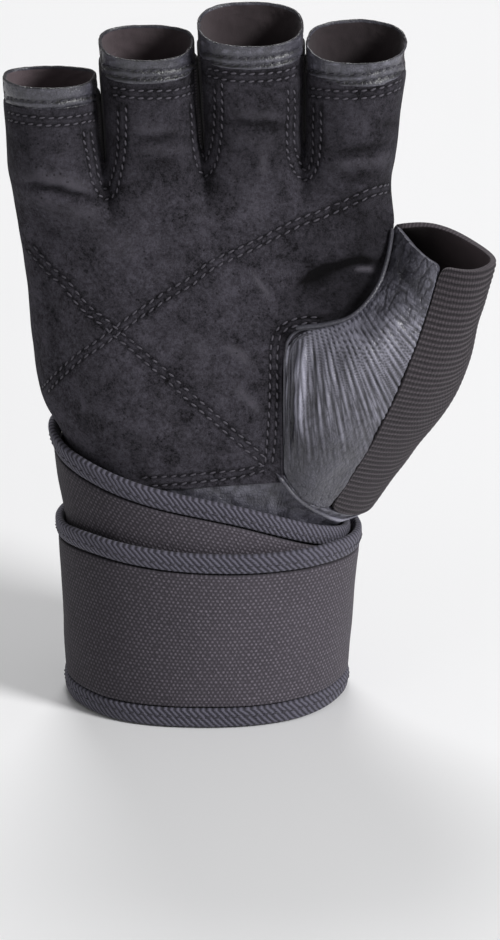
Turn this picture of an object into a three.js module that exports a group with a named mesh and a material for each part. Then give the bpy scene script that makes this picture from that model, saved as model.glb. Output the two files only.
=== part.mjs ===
// Weightlifting glove, half-finger, right hand, standing as worn, with its wrist wrap wound on.
// Millimetres, +Z towards the fingers, palm facing -Y, thumb on +X.
// The origin is the middle of the wrist opening, level with the lower edge of the wrap.
import * as THREE from 'three';

// Driving sizes
const GLOVE_HEIGHT = 190;
const PALM_WIDTH = 100;
const PALM_DEPTH = 50;
const PANEL_WALL = 1.6;
const HEM_WALL = 1.7;
const HEM_HEIGHT = 5.5;
const PIPING_RADIUS = 0.7;
const STRAP_WALL = 1.6;
const BINDING_WALL = 2.4;
const BINDING_HEIGHT = 5.7;
const STRAP_LIFT = 0.4;
const TURN_PITCH = 3.2;
const TURNS = 2;
const TAB_LENGTH = 28;
const GAP = 0.4;
const SEAM_BEVEL = 1.9;

// Grid counts
const FINGER_STEPS = 6;
const STALL_ROWS = 5;
const THUMB_ROWS = 12;
const SIDE_ROWS = 4;
const LEATHER_STEPS = 8;
const KNIT_STEPS = 12;
const HEM_SIDE_STEPS = 2;
const HEM_ROWS = 2;
const TURN_STEPS = 32;
const TAB_STEPS = 6;
const PIPING_STEPS = 20;
const PIPING_SIDES = 6;

// Section exponents: along the width and along the depth
const WIDTH_POWER = 2.4;
const DEPTH_POWER = 2.0;
const ARC_POWER = 2.3;

// The strap lies at the middle of its thicker bindings
const STRAP_INSIDE = (BINDING_WALL - STRAP_WALL) / 2;

const W = PALM_WIDTH;
const D = PALM_DEPTH;
const H = GLOVE_HEIGHT;

// Body sections by height; all columns are shares of the glove's height, width or depth
const BODY = [
  { z: 0.0, left: -0.320, right: 0.300, front: -0.486, back: 0.420, side: 0.000 },
  { z: 0.25, left: -0.340, right: 0.338, front: -0.486, back: 0.430, side: 0.000 },
  { z: 0.30, left: -0.366, right: 0.362, front: -0.490, back: 0.430, side: 0.000 },
  { z: 0.39, left: -0.388, right: 0.400, front: -0.516, back: 0.410, side: 0.000 },
  { z: 0.42, left: -0.430, right: 0.420, front: -0.545, back: 0.400, side: -0.010 },
  { z: 0.50, left: -0.457, right: 0.445, front: -0.540, back: 0.370, side: -0.020 },
  { z: 0.58, left: -0.470, right: 0.462, front: -0.480, back: 0.330, side: -0.030 },
  { z: 0.66, left: -0.486, right: 0.480, front: -0.430, back: 0.290, side: -0.050 },
  { z: 0.74, left: -0.508, right: 0.484, front: -0.410, back: 0.260, side: -0.070 },
  { z: 0.80, left: -0.521, right: 0.500, front: -0.410, back: 0.230, side: -0.080 },
];

// Crotches between the fingers, and the ends of that line at the two side seams
const CROTCH = [
  { x: -0.519, z: 0.780 },
  { x: -0.261, z: 0.792 },
  { x: -0.004, z: 0.808 },
  { x: 0.256, z: 0.815 },
  { x: 0.498, z: 0.790 },
];

// Finger openings: side positions and depths as shares of width and depth, rim heights of the height
const FINGERS = [
  { name: 'pinky', left: -0.531, right: -0.284, front: -0.470, side: -0.190, back: -0.020, rims: [0.918, 0.918] },
  { name: 'ring', left: -0.276, right: -0.029, front: -0.480, side: -0.200, back: 0.000, rims: [0.957, 0.975] },
  { name: 'middle', left: -0.021, right: 0.254, front: -0.486, side: -0.230, back: 0.010, rims: [0.977, 1.007] },
  { name: 'index', left: 0.261, right: 0.529, front: -0.486, side: -0.240, back: 0.000, rims: [0.953, 0.983] },
];

// Depths at the crotch line, and half the width of a side strip at the rims, as shares of the depth
const AT_CROTCH = { front: -0.430, frontSide: -0.250, seam: -0.080, backSide: 0.020, back: 0.200 };
const RIM_STRIP = 0.055;
const SCALLOP_HEIGHT = 0.085;
// Half width of the slit between two fingers, and the share of a finger's length where it is fully open
const SLIT_HALF = 0.5;
const SLIT_OPEN_AT = 0.1;

// Thumb rails from the cuff up to the thumb opening, each a run of x, y and z shares
const WEB_RAIL = [
  [0.203, -0.510, 0.368], [0.203, -0.530, 0.453], [0.204, -0.524, 0.547], [0.226, -0.530, 0.577],
  [0.310, -0.552, 0.587], [0.385, -0.552, 0.599], [0.450, -0.480, 0.632], [0.482, -0.340, 0.668],
  [0.497, -0.140, 0.702],
];
const LEATHER_RAIL = [
  [0.250, -0.505, 0.330], [0.300, -0.620, 0.411], [0.340, -0.680, 0.490], [0.415, -0.700, 0.560],
  [0.510, -0.620, 0.622], [0.542, -0.450, 0.694],
];
const SEAM_RAIL = [
  [0.326, -0.375, 0.300], [0.405, -0.480, 0.379], [0.475, -0.580, 0.463], [0.535, -0.645, 0.547],
  [0.578, -0.645, 0.618], [0.608, -0.620, 0.681],
];
const FRONT_RAIL = [
  [0.410, -0.205, 0.276], [0.510, -0.320, 0.371], [0.595, -0.440, 0.455], [0.652, -0.540, 0.537],
  [0.690, -0.610, 0.611], [0.705, -0.635, 0.674],
];
const OUTER_RAIL = [
  [0.457, -0.030, 0.282], [0.560, -0.120, 0.374], [0.662, -0.200, 0.453], [0.703, -0.280, 0.532],
  [0.730, -0.400, 0.608], [0.758, -0.530, 0.680],
];
const BACK_RAIL = [
  [0.425, 0.180, 0.284], [0.520, 0.140, 0.379], [0.600, 0.100, 0.463], [0.640, -0.020, 0.547],
  [0.665, -0.160, 0.626], [0.700, -0.330, 0.694],
];
const INNER_RAIL = [
  [0.385, 0.250, 0.284], [0.445, 0.240, 0.384], [0.500, 0.230, 0.479], [0.545, 0.140, 0.563],
  [0.575, -0.020, 0.642], [0.592, -0.160, 0.704],
];
const HAND_RAIL = [
  [0.330, 0.310, 0.284], [0.370, 0.306, 0.384], [0.415, 0.280, 0.484], [0.455, 0.220, 0.574],
  [0.484, 0.110, 0.653], [0.493, 0.000, 0.682], [0.497, -0.140, 0.702],
];
// Side seam from the thumb corner up to the index finger
const SIDE_SEAM = [
  [0.497, -0.140, 0.702], [0.490, -0.110, 0.732], [0.486, -0.092, 0.758], [0.498, -0.080, 0.790],
];
const PALM_HEM = 0.347;
// Stretch of the thumb seam that carries the piping, and the way the piping stands off it
const PIPING_RUN = { from: 0.47, to: 0.97 };
const PIPING_LEAN = [-0.42, -0.72, 0.55];
const PIPING_CLEARANCE = 1.5 * GAP;

// Top and bottom edge of the strap along its winding, in turns from the middle of the back
const STRAP_EDGES = [
  { turn: 0.0, top: 0.405, bottom: 0.145 },
  { turn: 0.25, top: 0.396, bottom: 0.138 },
  { turn: 0.375, top: 0.372, bottom: 0.112 },
  { turn: 0.5, top: 0.334, bottom: 0.074 },
  { turn: 0.625, top: 0.281, bottom: 0.026 },
  { turn: 0.75, top: 0.250, bottom: 0.006 },
  { turn: 1.0, top: 0.258, bottom: 0.005 },
  { turn: 1.25, top: 0.263, bottom: 0.003 },
  { turn: 1.375, top: 0.271, bottom: 0.000 },
  { turn: 1.5, top: 0.259, bottom: 0.000 },
  { turn: 1.625, top: 0.255, bottom: 0.000 },
  { turn: 1.75, top: 0.245, bottom: 0.002 },
  { turn: 2.0, top: 0.250, bottom: 0.002 },
];
// Length of one turn as a share of the palm width
const TURN_LENGTH = 2.2;
// Foot of the cuff band, and its rows as shares of the way up to its top edge
const CUFF_FOOT = 0.06;
const CUFF_ROWS = [0, 0.33, 0.66, 0.9, 1];

function mix(a, b, t) {
  return a + (b - a) * t;
}

function smooth(t) {
  const c = Math.min(1, Math.max(0, t));
  return c * c * (3 - 2 * c);
}

// Value of one column of a table, eased between its rows by a cubic through neighbouring rows
function along(table, key, column, at) {
  let k = 0;
  while (k < table.length - 2 && at > table[k + 1][key]) k += 1;
  const a = table[k];
  const b = table[k + 1];
  const t = Math.min(1, Math.max(0, (at - a[key]) / (b[key] - a[key])));
  const before = table[Math.max(0, k - 1)];
  const after = table[Math.min(table.length - 1, k + 2)];
  const span = b[key] - a[key];
  const slopeA = ((b[column] - before[column]) / (b[key] - before[key])) * span;
  const slopeB = ((after[column] - a[column]) / (after[key] - a[key])) * span;
  const t2 = t * t;
  const t3 = t2 * t;
  return (2 * t3 - 3 * t2 + 1) * a[column] + (t3 - 2 * t2 + t) * slopeA
    + (3 * t2 - 2 * t3) * b[column] + (t3 - t2) * slopeB;
}

function bodyAt(z) {
  const share = z / H;
  const left = along(BODY, 'z', 'left', share) * W;
  const right = along(BODY, 'z', 'right', share) * W;
  return {
    middle: (left + right) / 2,
    half: (right - left) / 2,
    left,
    right,
    front: along(BODY, 'z', 'front', share) * D,
    back: along(BODY, 'z', 'back', share) * D,
    side: along(BODY, 'z', 'side', share) * D,
  };
}

// Depth of the plain body surface under a point: facing -1 for the palm, +1 for the back
function bodyDepth(x, z, facing) {
  const s = bodyAt(z);
  const across = Math.min(1, Math.abs((x - s.middle) / s.half));
  const reach = facing < 0 ? s.front - s.side : s.back - s.side;
  return s.side + reach * (1 - across ** WIDTH_POWER) ** (1 / DEPTH_POWER);
}

// Point of the body section at an angle, moved out by a distance; angle 0 is +X, 90 degrees is the back
function bodyRing(angle, z, out) {
  const s = bodyAt(z);
  const c = Math.cos(angle);
  const d = Math.sin(angle);
  const across = Math.sign(c) * Math.abs(c) ** (2 / WIDTH_POWER);
  const depth = Math.sign(d) * Math.abs(d) ** (2 / DEPTH_POWER);
  const reach = depth < 0 ? s.side - s.front : s.back - s.side;
  return new THREE.Vector3(s.middle + (s.half + out) * across, s.side + (reach + out) * depth, z);
}

function rail(points) {
  const list = points.map(([x, y, z]) => new THREE.Vector3(x * W, y * D, z * H));
  return new THREE.CatmullRomCurve3(list, false, 'centripetal');
}

// Sheets are lists of points and quads; a sheet is thickened into one closed solid
function gridSheet(columns, rows, pointAt, closed = false) {
  const points = [];
  const quads = [];
  const wide = closed ? columns : columns + 1;
  for (let j = 0; j <= rows; j += 1) {
    for (let i = 0; i < wide; i += 1) points.push(pointAt(i / columns, j / rows));
  }
  for (let j = 0; j < rows; j += 1) {
    for (let i = 0; i < columns; i += 1) {
      const next = (i + 1) % wide;
      quads.push([j * wide + i, j * wide + next, (j + 1) * wide + next, (j + 1) * wide + i]);
    }
  }
  return { points, quads };
}

// Shifts the rounding of shared points off round numbers, where two equal points could part
const JOIN_PHASE = 0.637;

function joinSheets(sheets) {
  const points = [];
  const quads = [];
  const seen = new Map();
  for (const sheet of sheets) {
    const index = sheet.points.map((p) => {
      const key = [p.x, p.y, p.z].map((v) => Math.floor(v * 1000 + JOIN_PHASE)).join(',');
      if (!seen.has(key)) {
        seen.set(key, points.length);
        points.push(p.clone());
      }
      return seen.get(key);
    });
    for (const q of sheet.quads) quads.push(q.map((i) => index[i]));
  }
  return { points, quads };
}

function borderEdges(quads) {
  const edges = new Map();
  quads.forEach((q) => {
    for (let k = 0; k < 4; k += 1) {
      const a = q[k];
      const b = q[(k + 1) % 4];
      const twin = `${b},${a}`;
      if (edges.has(twin)) edges.delete(twin);
      else edges.set(`${a},${b}`, [a, b]);
    }
  });
  return [...edges.values()];
}

function sheetNormals({ points, quads }) {
  const normals = points.map(() => new THREE.Vector3());
  for (const [a, b, c, d] of quads) {
    const one = points[c].clone().sub(points[a]);
    const two = points[d].clone().sub(points[b]);
    const n = one.cross(two);
    if (n.lengthSq() === 0) continue;
    n.normalize();
    for (const i of [a, b, c, d]) normals[i].add(n);
  }
  normals.forEach((n) => n.normalize());
  return normals;
}

// Two border edges that meet at a point pull it inwards together: least pull of a border point, and
// squared pull below which a sharp corner isn't drawn in any further
const LEAST_PULL = 0.5;
const CORNER_PULL = 1.5;

// Move of each border point that draws the border inwards by one millimetre
function inwardMoves(sheet) {
  const normals = sheetNormals(sheet);
  const moves = sheet.points.map(() => new THREE.Vector3());
  for (const [a, b] of borderEdges(sheet.quads)) {
    const run = sheet.points[b].clone().sub(sheet.points[a]).normalize();
    const inward = normals[a].clone().add(normals[b]).cross(run).normalize();
    moves[a].add(inward);
    moves[b].add(inward);
  }
  moves.forEach((m) => {
    if (m.length() < LEAST_PULL) m.set(0, 0, 0);
    else m.multiplyScalar(2 / Math.max(m.lengthSq(), CORNER_PULL));
  });
  return moves;
}

// Draws the whole border of a sheet inwards, which leaves the gap at a seam
function inset(sheet, distance) {
  const moves = inwardMoves(sheet);
  const points = sheet.points.map((p, i) => p.clone().addScaledVector(moves[i], distance));
  return { points, quads: sheet.quads };
}

// Closed solid between an outer and an inner run of the same points
function solidBetween(outer, inner, quads) {
  const count = outer.length;
  const position = [];
  for (const p of [...outer, ...inner]) position.push(p.x, p.y, p.z);
  const index = [];
  for (const [a, b, c, d] of quads) {
    index.push(a, b, c, a, c, d);
    index.push(a + count, c + count, b + count, a + count, d + count, c + count);
  }
  for (const [a, b] of borderEdges(quads)) {
    index.push(b, a, a + count, b, a + count, b + count);
  }
  const geometry = new THREE.BufferGeometry();
  geometry.setAttribute('position', new THREE.Float32BufferAttribute(position, 3));
  geometry.setIndex(index);
  geometry.computeVertexNormals();
  return geometry;
}

// Gives a sheet its wall; the bevel draws the inner face back from the seams
function thicken(sheet, wall, bevel) {
  const normals = sheetNormals(sheet);
  const moves = inwardMoves(sheet);
  const inner = sheet.points.map((p, i) => (
    p.clone().addScaledVector(normals[i], -wall).addScaledVector(moves[i], bevel)
  ));
  return solidBetween(sheet.points, inner, sheet.quads);
}

const webCurve = rail(WEB_RAIL);
const handCurve = rail(HAND_RAIL);
const sideCurve = rail(SIDE_SEAM);

// Right border of the palm or back panel: the thumb seam, then the side seam
function rightBorder(curve) {
  const list = [];
  for (let k = 0; k <= THUMB_ROWS; k += 1) list.push(curve.getPointAt(k / THUMB_ROWS));
  for (let k = 1; k <= SIDE_ROWS; k += 1) list.push(sideCurve.getPointAt(k / SIDE_ROWS));
  return list;
}

function leftBorder() {
  const rows = THUMB_ROWS + SIDE_ROWS;
  const list = [];
  for (let k = 0; k <= rows; k += 1) {
    const z = mix(PALM_HEM, CROTCH[0].z, k / rows) * H;
    const s = bodyAt(z);
    list.push(new THREE.Vector3(s.left, s.side, z));
  }
  list[rows].set(CROTCH[0].x * W, AT_CROTCH.seam * D, CROTCH[0].z * H);
  return list;
}

// Share of the way across one finger for an even run of steps along its arc
function arcShare(t) {
  return (1 - Math.cos(Math.PI * t)) / 2;
}

function arcRise(share) {
  return (1 - Math.abs(2 * share - 1) ** ARC_POWER) ** (1 / ARC_POWER);
}

// Side depths of one finger's front or back arc: the outer fingers end at a side seam
function sideDepths(finger, facing, w) {
  const row = FINGERS[finger];
  const key = facing < 0 ? 'frontSide' : 'backSide';
  const inner = mix(AT_CROTCH[key], row.side + facing * RIM_STRIP, w) * D;
  const seam = mix(AT_CROTCH.seam, row.side, w) * D;
  return {
    left: finger === 0 ? seam : inner,
    right: finger === FINGERS.length - 1 ? seam : inner,
  };
}

function sideEdges(finger, w) {
  const row = FINGERS[finger];
  const open = SLIT_HALF * Math.min(1, w / SLIT_OPEN_AT) * (1 - w);
  const left = mix(CROTCH[finger].x, row.left, w) * W;
  const right = mix(CROTCH[finger + 1].x, row.right, w) * W;
  return {
    left: finger === 0 ? left : left + open,
    right: finger === FINGERS.length - 1 ? right : right - open,
  };
}

// Point on the front or back arc of one finger; w runs from the crotch line to the rim
function stallPoint(finger, facing, share, w) {
  const row = FINGERS[finger];
  const edge = sideEdges(finger, w);
  const side = sideDepths(finger, facing, w);
  const peak = facing < 0 ? mix(AT_CROTCH.front, row.front, w) : mix(AT_CROTCH.back, row.back, w);
  const base = mix(side.left, side.right, share);
  const y = base + (peak * D - base) * arcRise(share);
  return stallLift(finger, mix(edge.left, edge.right, share), y, share, w);
}

function stallLift(finger, x, y, share, w) {
  const row = FINGERS[finger];
  const crotch = mix(CROTCH[finger].z, CROTCH[finger + 1].z, share);
  const tilt = (y / D - row.front) / (row.back - row.front);
  const rim = mix(row.rims[0], row.rims[1], tilt);
  return new THREE.Vector3(x, y, mix(crotch, rim, w) * H);
}

// Share of a finger's length at which its hem begins
function hemStart(finger) {
  const row = FINGERS[finger];
  const length = (row.rims[0] - (CROTCH[finger].z + CROTCH[finger + 1].z) / 2) * H;
  return 1 - HEM_HEIGHT / length;
}

// Point of the palm or back below the crotch line; t crosses one finger's share, v rises row by row
function handPoint(facing, border, finger, t, v) {
  const left = leftBorder();
  const k = Math.round(v * (left.length - 1));
  const from = left[k];
  const to = border[k];
  const share = arcShare(t);
  const crotchX = mix(CROTCH[finger].x, CROTCH[finger + 1].x, share);
  const across = (crotchX - CROTCH[0].x) / (CROTCH[FINGERS.length].x - CROTCH[0].x);
  const lift = mix(CROTCH[finger].z, CROTCH[finger + 1].z, share);
  const level = mix(CROTCH[0].z, CROTCH[FINGERS.length].z, across);
  const x = mix(from.x, to.x, across);
  const z = mix(from.z, to.z, across) + (lift - level) * H * v * v;
  const edgeShift = to.y - bodyDepth(to.x, to.z, facing);
  const near = finger === FINGERS.length - 1 ? t * t : 0;
  const plain = bodyDepth(x, z, facing) + edgeShift * near;
  const scallop = stallPoint(finger, facing, share, 0).y;
  const fade = smooth(1 - ((1 - v) * (CROTCH[0].z - PALM_HEM)) / SCALLOP_HEIGHT);
  return new THREE.Vector3(x, mix(plain, scallop, fade), z);
}

// One half of the glove: palm side or back side, with the fingers' halves above the crotch line
function halfSheet(facing, border) {
  const rows = border.length - 1;
  const sheets = [];
  FINGERS.forEach((row, finger) => {
    const hand = (t, v) => handPoint(facing, border, finger, t, v);
    const stall = (t, v) => stallPoint(finger, facing, arcShare(t), v * hemStart(finger));
    sheets.push(gridSheet(FINGER_STEPS, rows, hand));
    sheets.push(gridSheet(FINGER_STEPS, STALL_ROWS, stall));
  });
  const sheet = joinSheets(sheets);
  if (facing > 0) sheet.quads = sheet.quads.map(([a, b, c, d]) => [d, c, b, a]);
  return inset(sheet, GAP / 2);
}

// Side strip between two fingers: down one finger, under the crotch and up the next
function sideStrip(finger) {
  const point = (u, v) => {
    const rising = u > 0.5;
    const w = Math.abs(2 * u - 1);
    const which = rising ? finger + 1 : finger;
    const level = w * hemStart(which);
    const front = stallPoint(which, -1, rising ? 0 : 1, level);
    const back = stallPoint(which, 1, rising ? 0 : 1, level);
    return front.lerp(back, v);
  };
  return inset(gridSheet(2 * (STALL_ROWS + 1), 2, point), GAP / 2);
}

// Closed ring of points around one finger opening
function stallRing(finger, w) {
  const ring = [];
  const outerLeft = finger === 0;
  const outerRight = finger === FINGERS.length - 1;
  const at = (k) => arcShare(k / FINGER_STEPS);
  for (let k = 0; k < FINGER_STEPS; k += 1) ring.push(stallPoint(finger, -1, at(k), w));
  const sideRun = (share, from, steps) => {
    const a = stallPoint(finger, from, share, w);
    const b = stallPoint(finger, -from, share, w);
    for (let k = 0; k < steps; k += 1) ring.push(a.clone().lerp(b, k / steps));
  };
  if (!outerRight) sideRun(1, -1, HEM_SIDE_STEPS);
  for (let k = FINGER_STEPS; k > 0; k -= 1) ring.push(stallPoint(finger, 1, at(k), w));
  if (!outerLeft) sideRun(0, 1, HEM_SIDE_STEPS);
  return ring;
}

function fingerHem(finger) {
  const start = hemStart(finger);
  const rings = [];
  for (let j = 0; j <= HEM_ROWS; j += 1) rings.push(stallRing(finger, mix(start, 1, j / HEM_ROWS)));
  const count = rings[0].length;
  const ringPoint = (u, v) => rings[Math.round(v * HEM_ROWS)][Math.round(u * count)];
  const sheet = gridSheet(count, HEM_ROWS, ringPoint, true);
  return inset(sheet, GAP / 2);
}

// Thumb surface between rails, from the palm edge round the outside to the back of the hand
function thumbSheet(rails, steps, parts) {
  const point = (u, v) => {
    const across = new THREE.CatmullRomCurve3(rails.map((r) => r.getPointAt(v)), false, 'centripetal');
    return across.getPoint(mix(parts[0], parts[1], u) / (rails.length - 1));
  };
  return inset(gridSheet(steps, THUMB_ROWS, point), GAP / 2);
}

const THUMB_RAILS = [WEB_RAIL, LEATHER_RAIL, SEAM_RAIL, FRONT_RAIL, OUTER_RAIL, BACK_RAIL, INNER_RAIL, HAND_RAIL];
const SEAM_AT = THUMB_RAILS.indexOf(SEAM_RAIL);

// Rolled edge along the thumb seam, standing just outside both panels
function piping() {
  const lean = new THREE.Vector3(...PIPING_LEAN).normalize();
  const points = [];
  for (let k = 0; k <= PIPING_STEPS; k += 1) {
    const p = webCurve.getPointAt(mix(PIPING_RUN.from, PIPING_RUN.to, k / PIPING_STEPS));
    points.push(p.addScaledVector(lean, PIPING_RADIUS + PIPING_CLEARANCE));
  }
  const section = new THREE.Shape();
  for (let k = 0; k < PIPING_SIDES; k += 1) {
    const a = (k / PIPING_SIDES) * Math.PI * 2;
    const x = Math.cos(a) * PIPING_RADIUS;
    const y = Math.sin(a) * PIPING_RADIUS;
    if (k === 0) section.moveTo(x, y);
    else section.lineTo(x, y);
  }
  section.closePath();
  return new THREE.ExtrudeGeometry(section, {
    steps: PIPING_STEPS,
    extrudePath: new THREE.CatmullRomCurve3(points),
  });
}

// Cuff band: its top follows the lower borders of the panels, its foot is the wrist section
function cuffBand(borderLoop) {
  const count = borderLoop.length;
  const rows = CUFF_ROWS.length - 1;
  const point = (u, v) => {
    const row = Math.round(v * rows);
    const top = borderLoop[Math.round(u * count) % count];
    const z = mix(CUFF_FOOT * H, top.z, CUFF_ROWS[row]);
    const s = bodyAt(z);
    const dx = (top.x - s.middle) / s.half;
    const dy = (top.y - s.side) / (top.y < s.side ? s.side - s.front : s.back - s.side);
    const angle = Math.atan2(
      Math.sign(dy) * Math.abs(dy) ** (DEPTH_POWER / 2),
      Math.sign(dx) * Math.abs(dx) ** (WIDTH_POWER / 2),
    );
    if (row === rows) return top.clone();
    return bodyRing(angle, z, 0);
  };
  return inset(gridSheet(count, rows, point, true), GAP / 2);
}

// Strap lengthwise station: turns from the middle of the back, going over the outside edge and the palm
function strapAngle(turn) {
  return Math.PI / 2 + turn * Math.PI * 2;
}

function strapBand(low, high, inside, wall, rows) {
  const steps = TURN_STEPS * TURNS;
  const layer = (out) => (u, v) => {
    const turn = u * TURNS;
    const top = along(STRAP_EDGES, 'turn', 'top', turn) * H;
    const bottom = along(STRAP_EDGES, 'turn', 'bottom', turn) * H;
    const z = mix(low(bottom, top), high(bottom, top), v);
    return bodyRing(strapAngle(turn), z, STRAP_LIFT + turn * TURN_PITCH + out);
  };
  const outer = gridSheet(steps, rows, layer(inside + wall));
  const inner = gridSheet(steps, rows, layer(inside));
  return solidBetween(outer.points, inner.points, outer.quads);
}

// Plain closing tab that carries on from the strap's end round the back
function hookTab() {
  const end = STRAP_EDGES[STRAP_EDGES.length - 1];
  const layer = (out) => (u, v) => {
    const turn = TURNS + (GAP + u * TAB_LENGTH) / (TURN_LENGTH * W);
    const z = mix(end.bottom * H + BINDING_HEIGHT, end.top * H - BINDING_HEIGHT, v);
    return bodyRing(strapAngle(turn), z, STRAP_LIFT + turn * TURN_PITCH + out);
  };
  const outer = gridSheet(TAB_STEPS, 2, layer(STRAP_INSIDE + STRAP_WALL));
  const inner = gridSheet(TAB_STEPS, 2, layer(STRAP_INSIDE));
  return solidBetween(outer.points, inner.points, outer.quads);
}

function material(colour, roughness) {
  return new THREE.MeshStandardMaterial({ color: colour, roughness, metalness: 0, side: THREE.DoubleSide });
}

const suede = material('#38353a', 0.95);
const stretch = material('#2b292d', 0.9);
const knit = material('#3c383b', 0.9);
const leather = material('#37373d', 0.45);
const rolled = material('#3a3a40', 0.4);
const webbing = material('#3b373b', 0.85);
const tape = material('#343238', 0.8);

const group = new THREE.Group();

function add(name, geometry, look) {
  const mesh = new THREE.Mesh(geometry, look);
  mesh.name = name;
  group.add(mesh);
}

const palmBorder = rightBorder(webCurve);
const backBorder = rightBorder(handCurve);
const palm = halfSheet(-1, palmBorder);
const back = halfSheet(1, backBorder);
add('palm_panel', thicken(palm, PANEL_WALL, SEAM_BEVEL), suede);
add('back_panel', thicken(back, PANEL_WALL, SEAM_BEVEL), stretch);

for (let finger = 0; finger < FINGERS.length - 1; finger += 1) {
  const name = `fourchette_${FINGERS[finger].name}_${FINGERS[finger + 1].name}`;
  add(name, thicken(sideStrip(finger), PANEL_WALL, SEAM_BEVEL / 2), knit);
}
FINGERS.forEach((row, finger) => {
  add(`finger_hem_${row.name}`, thicken(fingerHem(finger), HEM_WALL, 0), leather);
});

const thumbRails = THUMB_RAILS.map((r) => rail(r));
const thumbFront = thumbSheet(thumbRails, LEATHER_STEPS, [0, SEAM_AT]);
const thumbSide = thumbSheet(thumbRails, KNIT_STEPS, [SEAM_AT, THUMB_RAILS.length - 1]);
add('thumb_leather', thicken(thumbFront, PANEL_WALL, SEAM_BEVEL), leather);
add('thumb_knit', thicken(thumbSide, PANEL_WALL, SEAM_BEVEL), knit);
add('thumb_piping', piping(), rolled);

// Lower borders in order round the wrist: palm, thumb leather, thumb knit, back
function lowerBorder(facing, border) {
  const list = [];
  FINGERS.forEach((row, finger) => {
    for (let k = 0; k < FINGER_STEPS; k += 1) list.push(handPoint(facing, border, finger, k / FINGER_STEPS, 0));
  });
  list.push(border[0]);
  return list;
}

const cuffLoop = [
  ...lowerBorder(-1, palmBorder).slice(0, -1),
  ...thumbFront.points.slice(0, LEATHER_STEPS),
  ...thumbSide.points.slice(0, KNIT_STEPS),
  ...lowerBorder(1, backBorder).reverse().slice(0, -1),
];
add('cuff_band', thicken(cuffBand(cuffLoop), PANEL_WALL, 0), leather);

add('wrap_strap', strapBand(
  (bottom) => bottom + BINDING_HEIGHT + GAP / 2,
  (bottom, top) => top - BINDING_HEIGHT - GAP / 2,
  STRAP_INSIDE, STRAP_WALL, 3,
), webbing);
add('wrap_binding_top', strapBand(
  (bottom, top) => top - BINDING_HEIGHT + GAP / 2,
  (bottom, top) => top,
  0, BINDING_WALL, 1,
), tape);
add('wrap_binding_bottom', strapBand(
  (bottom) => bottom,
  (bottom) => bottom + BINDING_HEIGHT - GAP / 2,
  0, BINDING_WALL, 1,
), tape);
add('hook_tab', hookTab(), tape);

export default group;
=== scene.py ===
import math
import random
from collections import namedtuple

import bmesh
import bpy
import numpy as np
from mathutils import Matrix, Vector
from mathutils.bvhtree import BVHTree


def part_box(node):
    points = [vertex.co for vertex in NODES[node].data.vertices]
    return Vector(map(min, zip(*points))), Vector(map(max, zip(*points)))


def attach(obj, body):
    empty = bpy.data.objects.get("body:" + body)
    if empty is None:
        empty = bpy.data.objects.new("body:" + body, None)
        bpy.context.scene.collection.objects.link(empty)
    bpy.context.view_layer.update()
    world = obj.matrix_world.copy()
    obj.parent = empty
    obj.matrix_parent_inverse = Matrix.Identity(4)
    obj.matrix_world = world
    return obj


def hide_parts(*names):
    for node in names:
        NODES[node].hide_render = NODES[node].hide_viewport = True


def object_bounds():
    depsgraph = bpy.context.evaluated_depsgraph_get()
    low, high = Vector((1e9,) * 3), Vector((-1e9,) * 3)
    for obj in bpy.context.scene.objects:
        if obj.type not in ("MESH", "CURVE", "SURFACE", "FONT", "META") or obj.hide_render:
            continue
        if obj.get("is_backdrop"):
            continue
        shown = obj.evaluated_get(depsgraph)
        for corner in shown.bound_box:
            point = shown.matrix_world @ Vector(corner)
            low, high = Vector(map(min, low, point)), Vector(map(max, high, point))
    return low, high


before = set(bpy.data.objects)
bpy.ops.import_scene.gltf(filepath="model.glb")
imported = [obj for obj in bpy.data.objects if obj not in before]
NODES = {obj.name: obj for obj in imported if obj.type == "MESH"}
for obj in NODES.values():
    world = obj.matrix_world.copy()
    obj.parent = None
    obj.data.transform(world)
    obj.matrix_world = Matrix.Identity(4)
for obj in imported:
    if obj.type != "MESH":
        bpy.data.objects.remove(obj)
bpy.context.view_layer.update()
MM = 0.001

# Camera: the photograph's angle and scale
ELEVATION = math.radians(20)
CAMERA_DISTANCE = 1500.0
PIXELS_PER_MM = 3.7
PHOTO_WIDTH = 500
PHOTO_HEIGHT = 940
VIEW_UP = np.array((0.0, math.sin(ELEVATION), math.cos(ELEVATION)))
VIEW_BACK = np.array((0.0, -math.cos(ELEVATION), math.sin(ELEVATION)))
AIM_X = 11.6
AIM_UP = 58.0
AIM_BACK = 8.6
AIM = np.array((AIM_X, 0.0, 0.0)) + VIEW_UP * AIM_UP + VIEW_BACK * AIM_BACK
EYE = AIM + VIEW_BACK * CAMERA_DISTANCE
FLOOR_DROP = 0.4

# Leather, suede and strap sizes in millimetres
PANEL_WALL = 1.6
STRIP_WALL = 1.0
BINDING_WALL = 2.4
STITCH_RADIUS = 0.28
STITCH_SINK = 0.02
ROW_GROOVE = 0.28
ROW_WIDTH = 0.5
STRIP_PUFF = 0.65
BAND_PITCH = 2.2
TAPE_PITCH = 2.6
# A stitch row stops where the surface under it jumps farther than this
LONGEST_STEP = 6.0
# Share of a stitch's pitch that shows as thread
STITCH_SHARE = 0.68
# Bands are leather where their direction along Y is below this, and knit elsewhere
BAND_FRONT = -0.25

# Textile spacings in millimetres, drawn no finer than the render can show
KNIT_RIB = 1.75
KNIT_CORD = 0.95
WEAVE_ACROSS = 1.25
WEAVE_ROW = 0.95
TAPE_RIB = 1.75
TAPE_SLANT = 0.8
TAPE_THREAD_SPACING = 0.75
JERSEY_WALE = 1.0
JERSEY_COURSE = 0.8
PORE_SPACING = 1.6
PEBBLE_SIZE = 0.9
# A wave texture at scale 1 has its bands ten for each half turn
WAVE_UNIT = math.pi / 10

# Mesh copies: distance that merges shared corners, and the fold that parts a wall's sides from its rim
WELD = 5e-6
RIM_FOLD = math.radians(65)


# Photo pixels and millimetres

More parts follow.
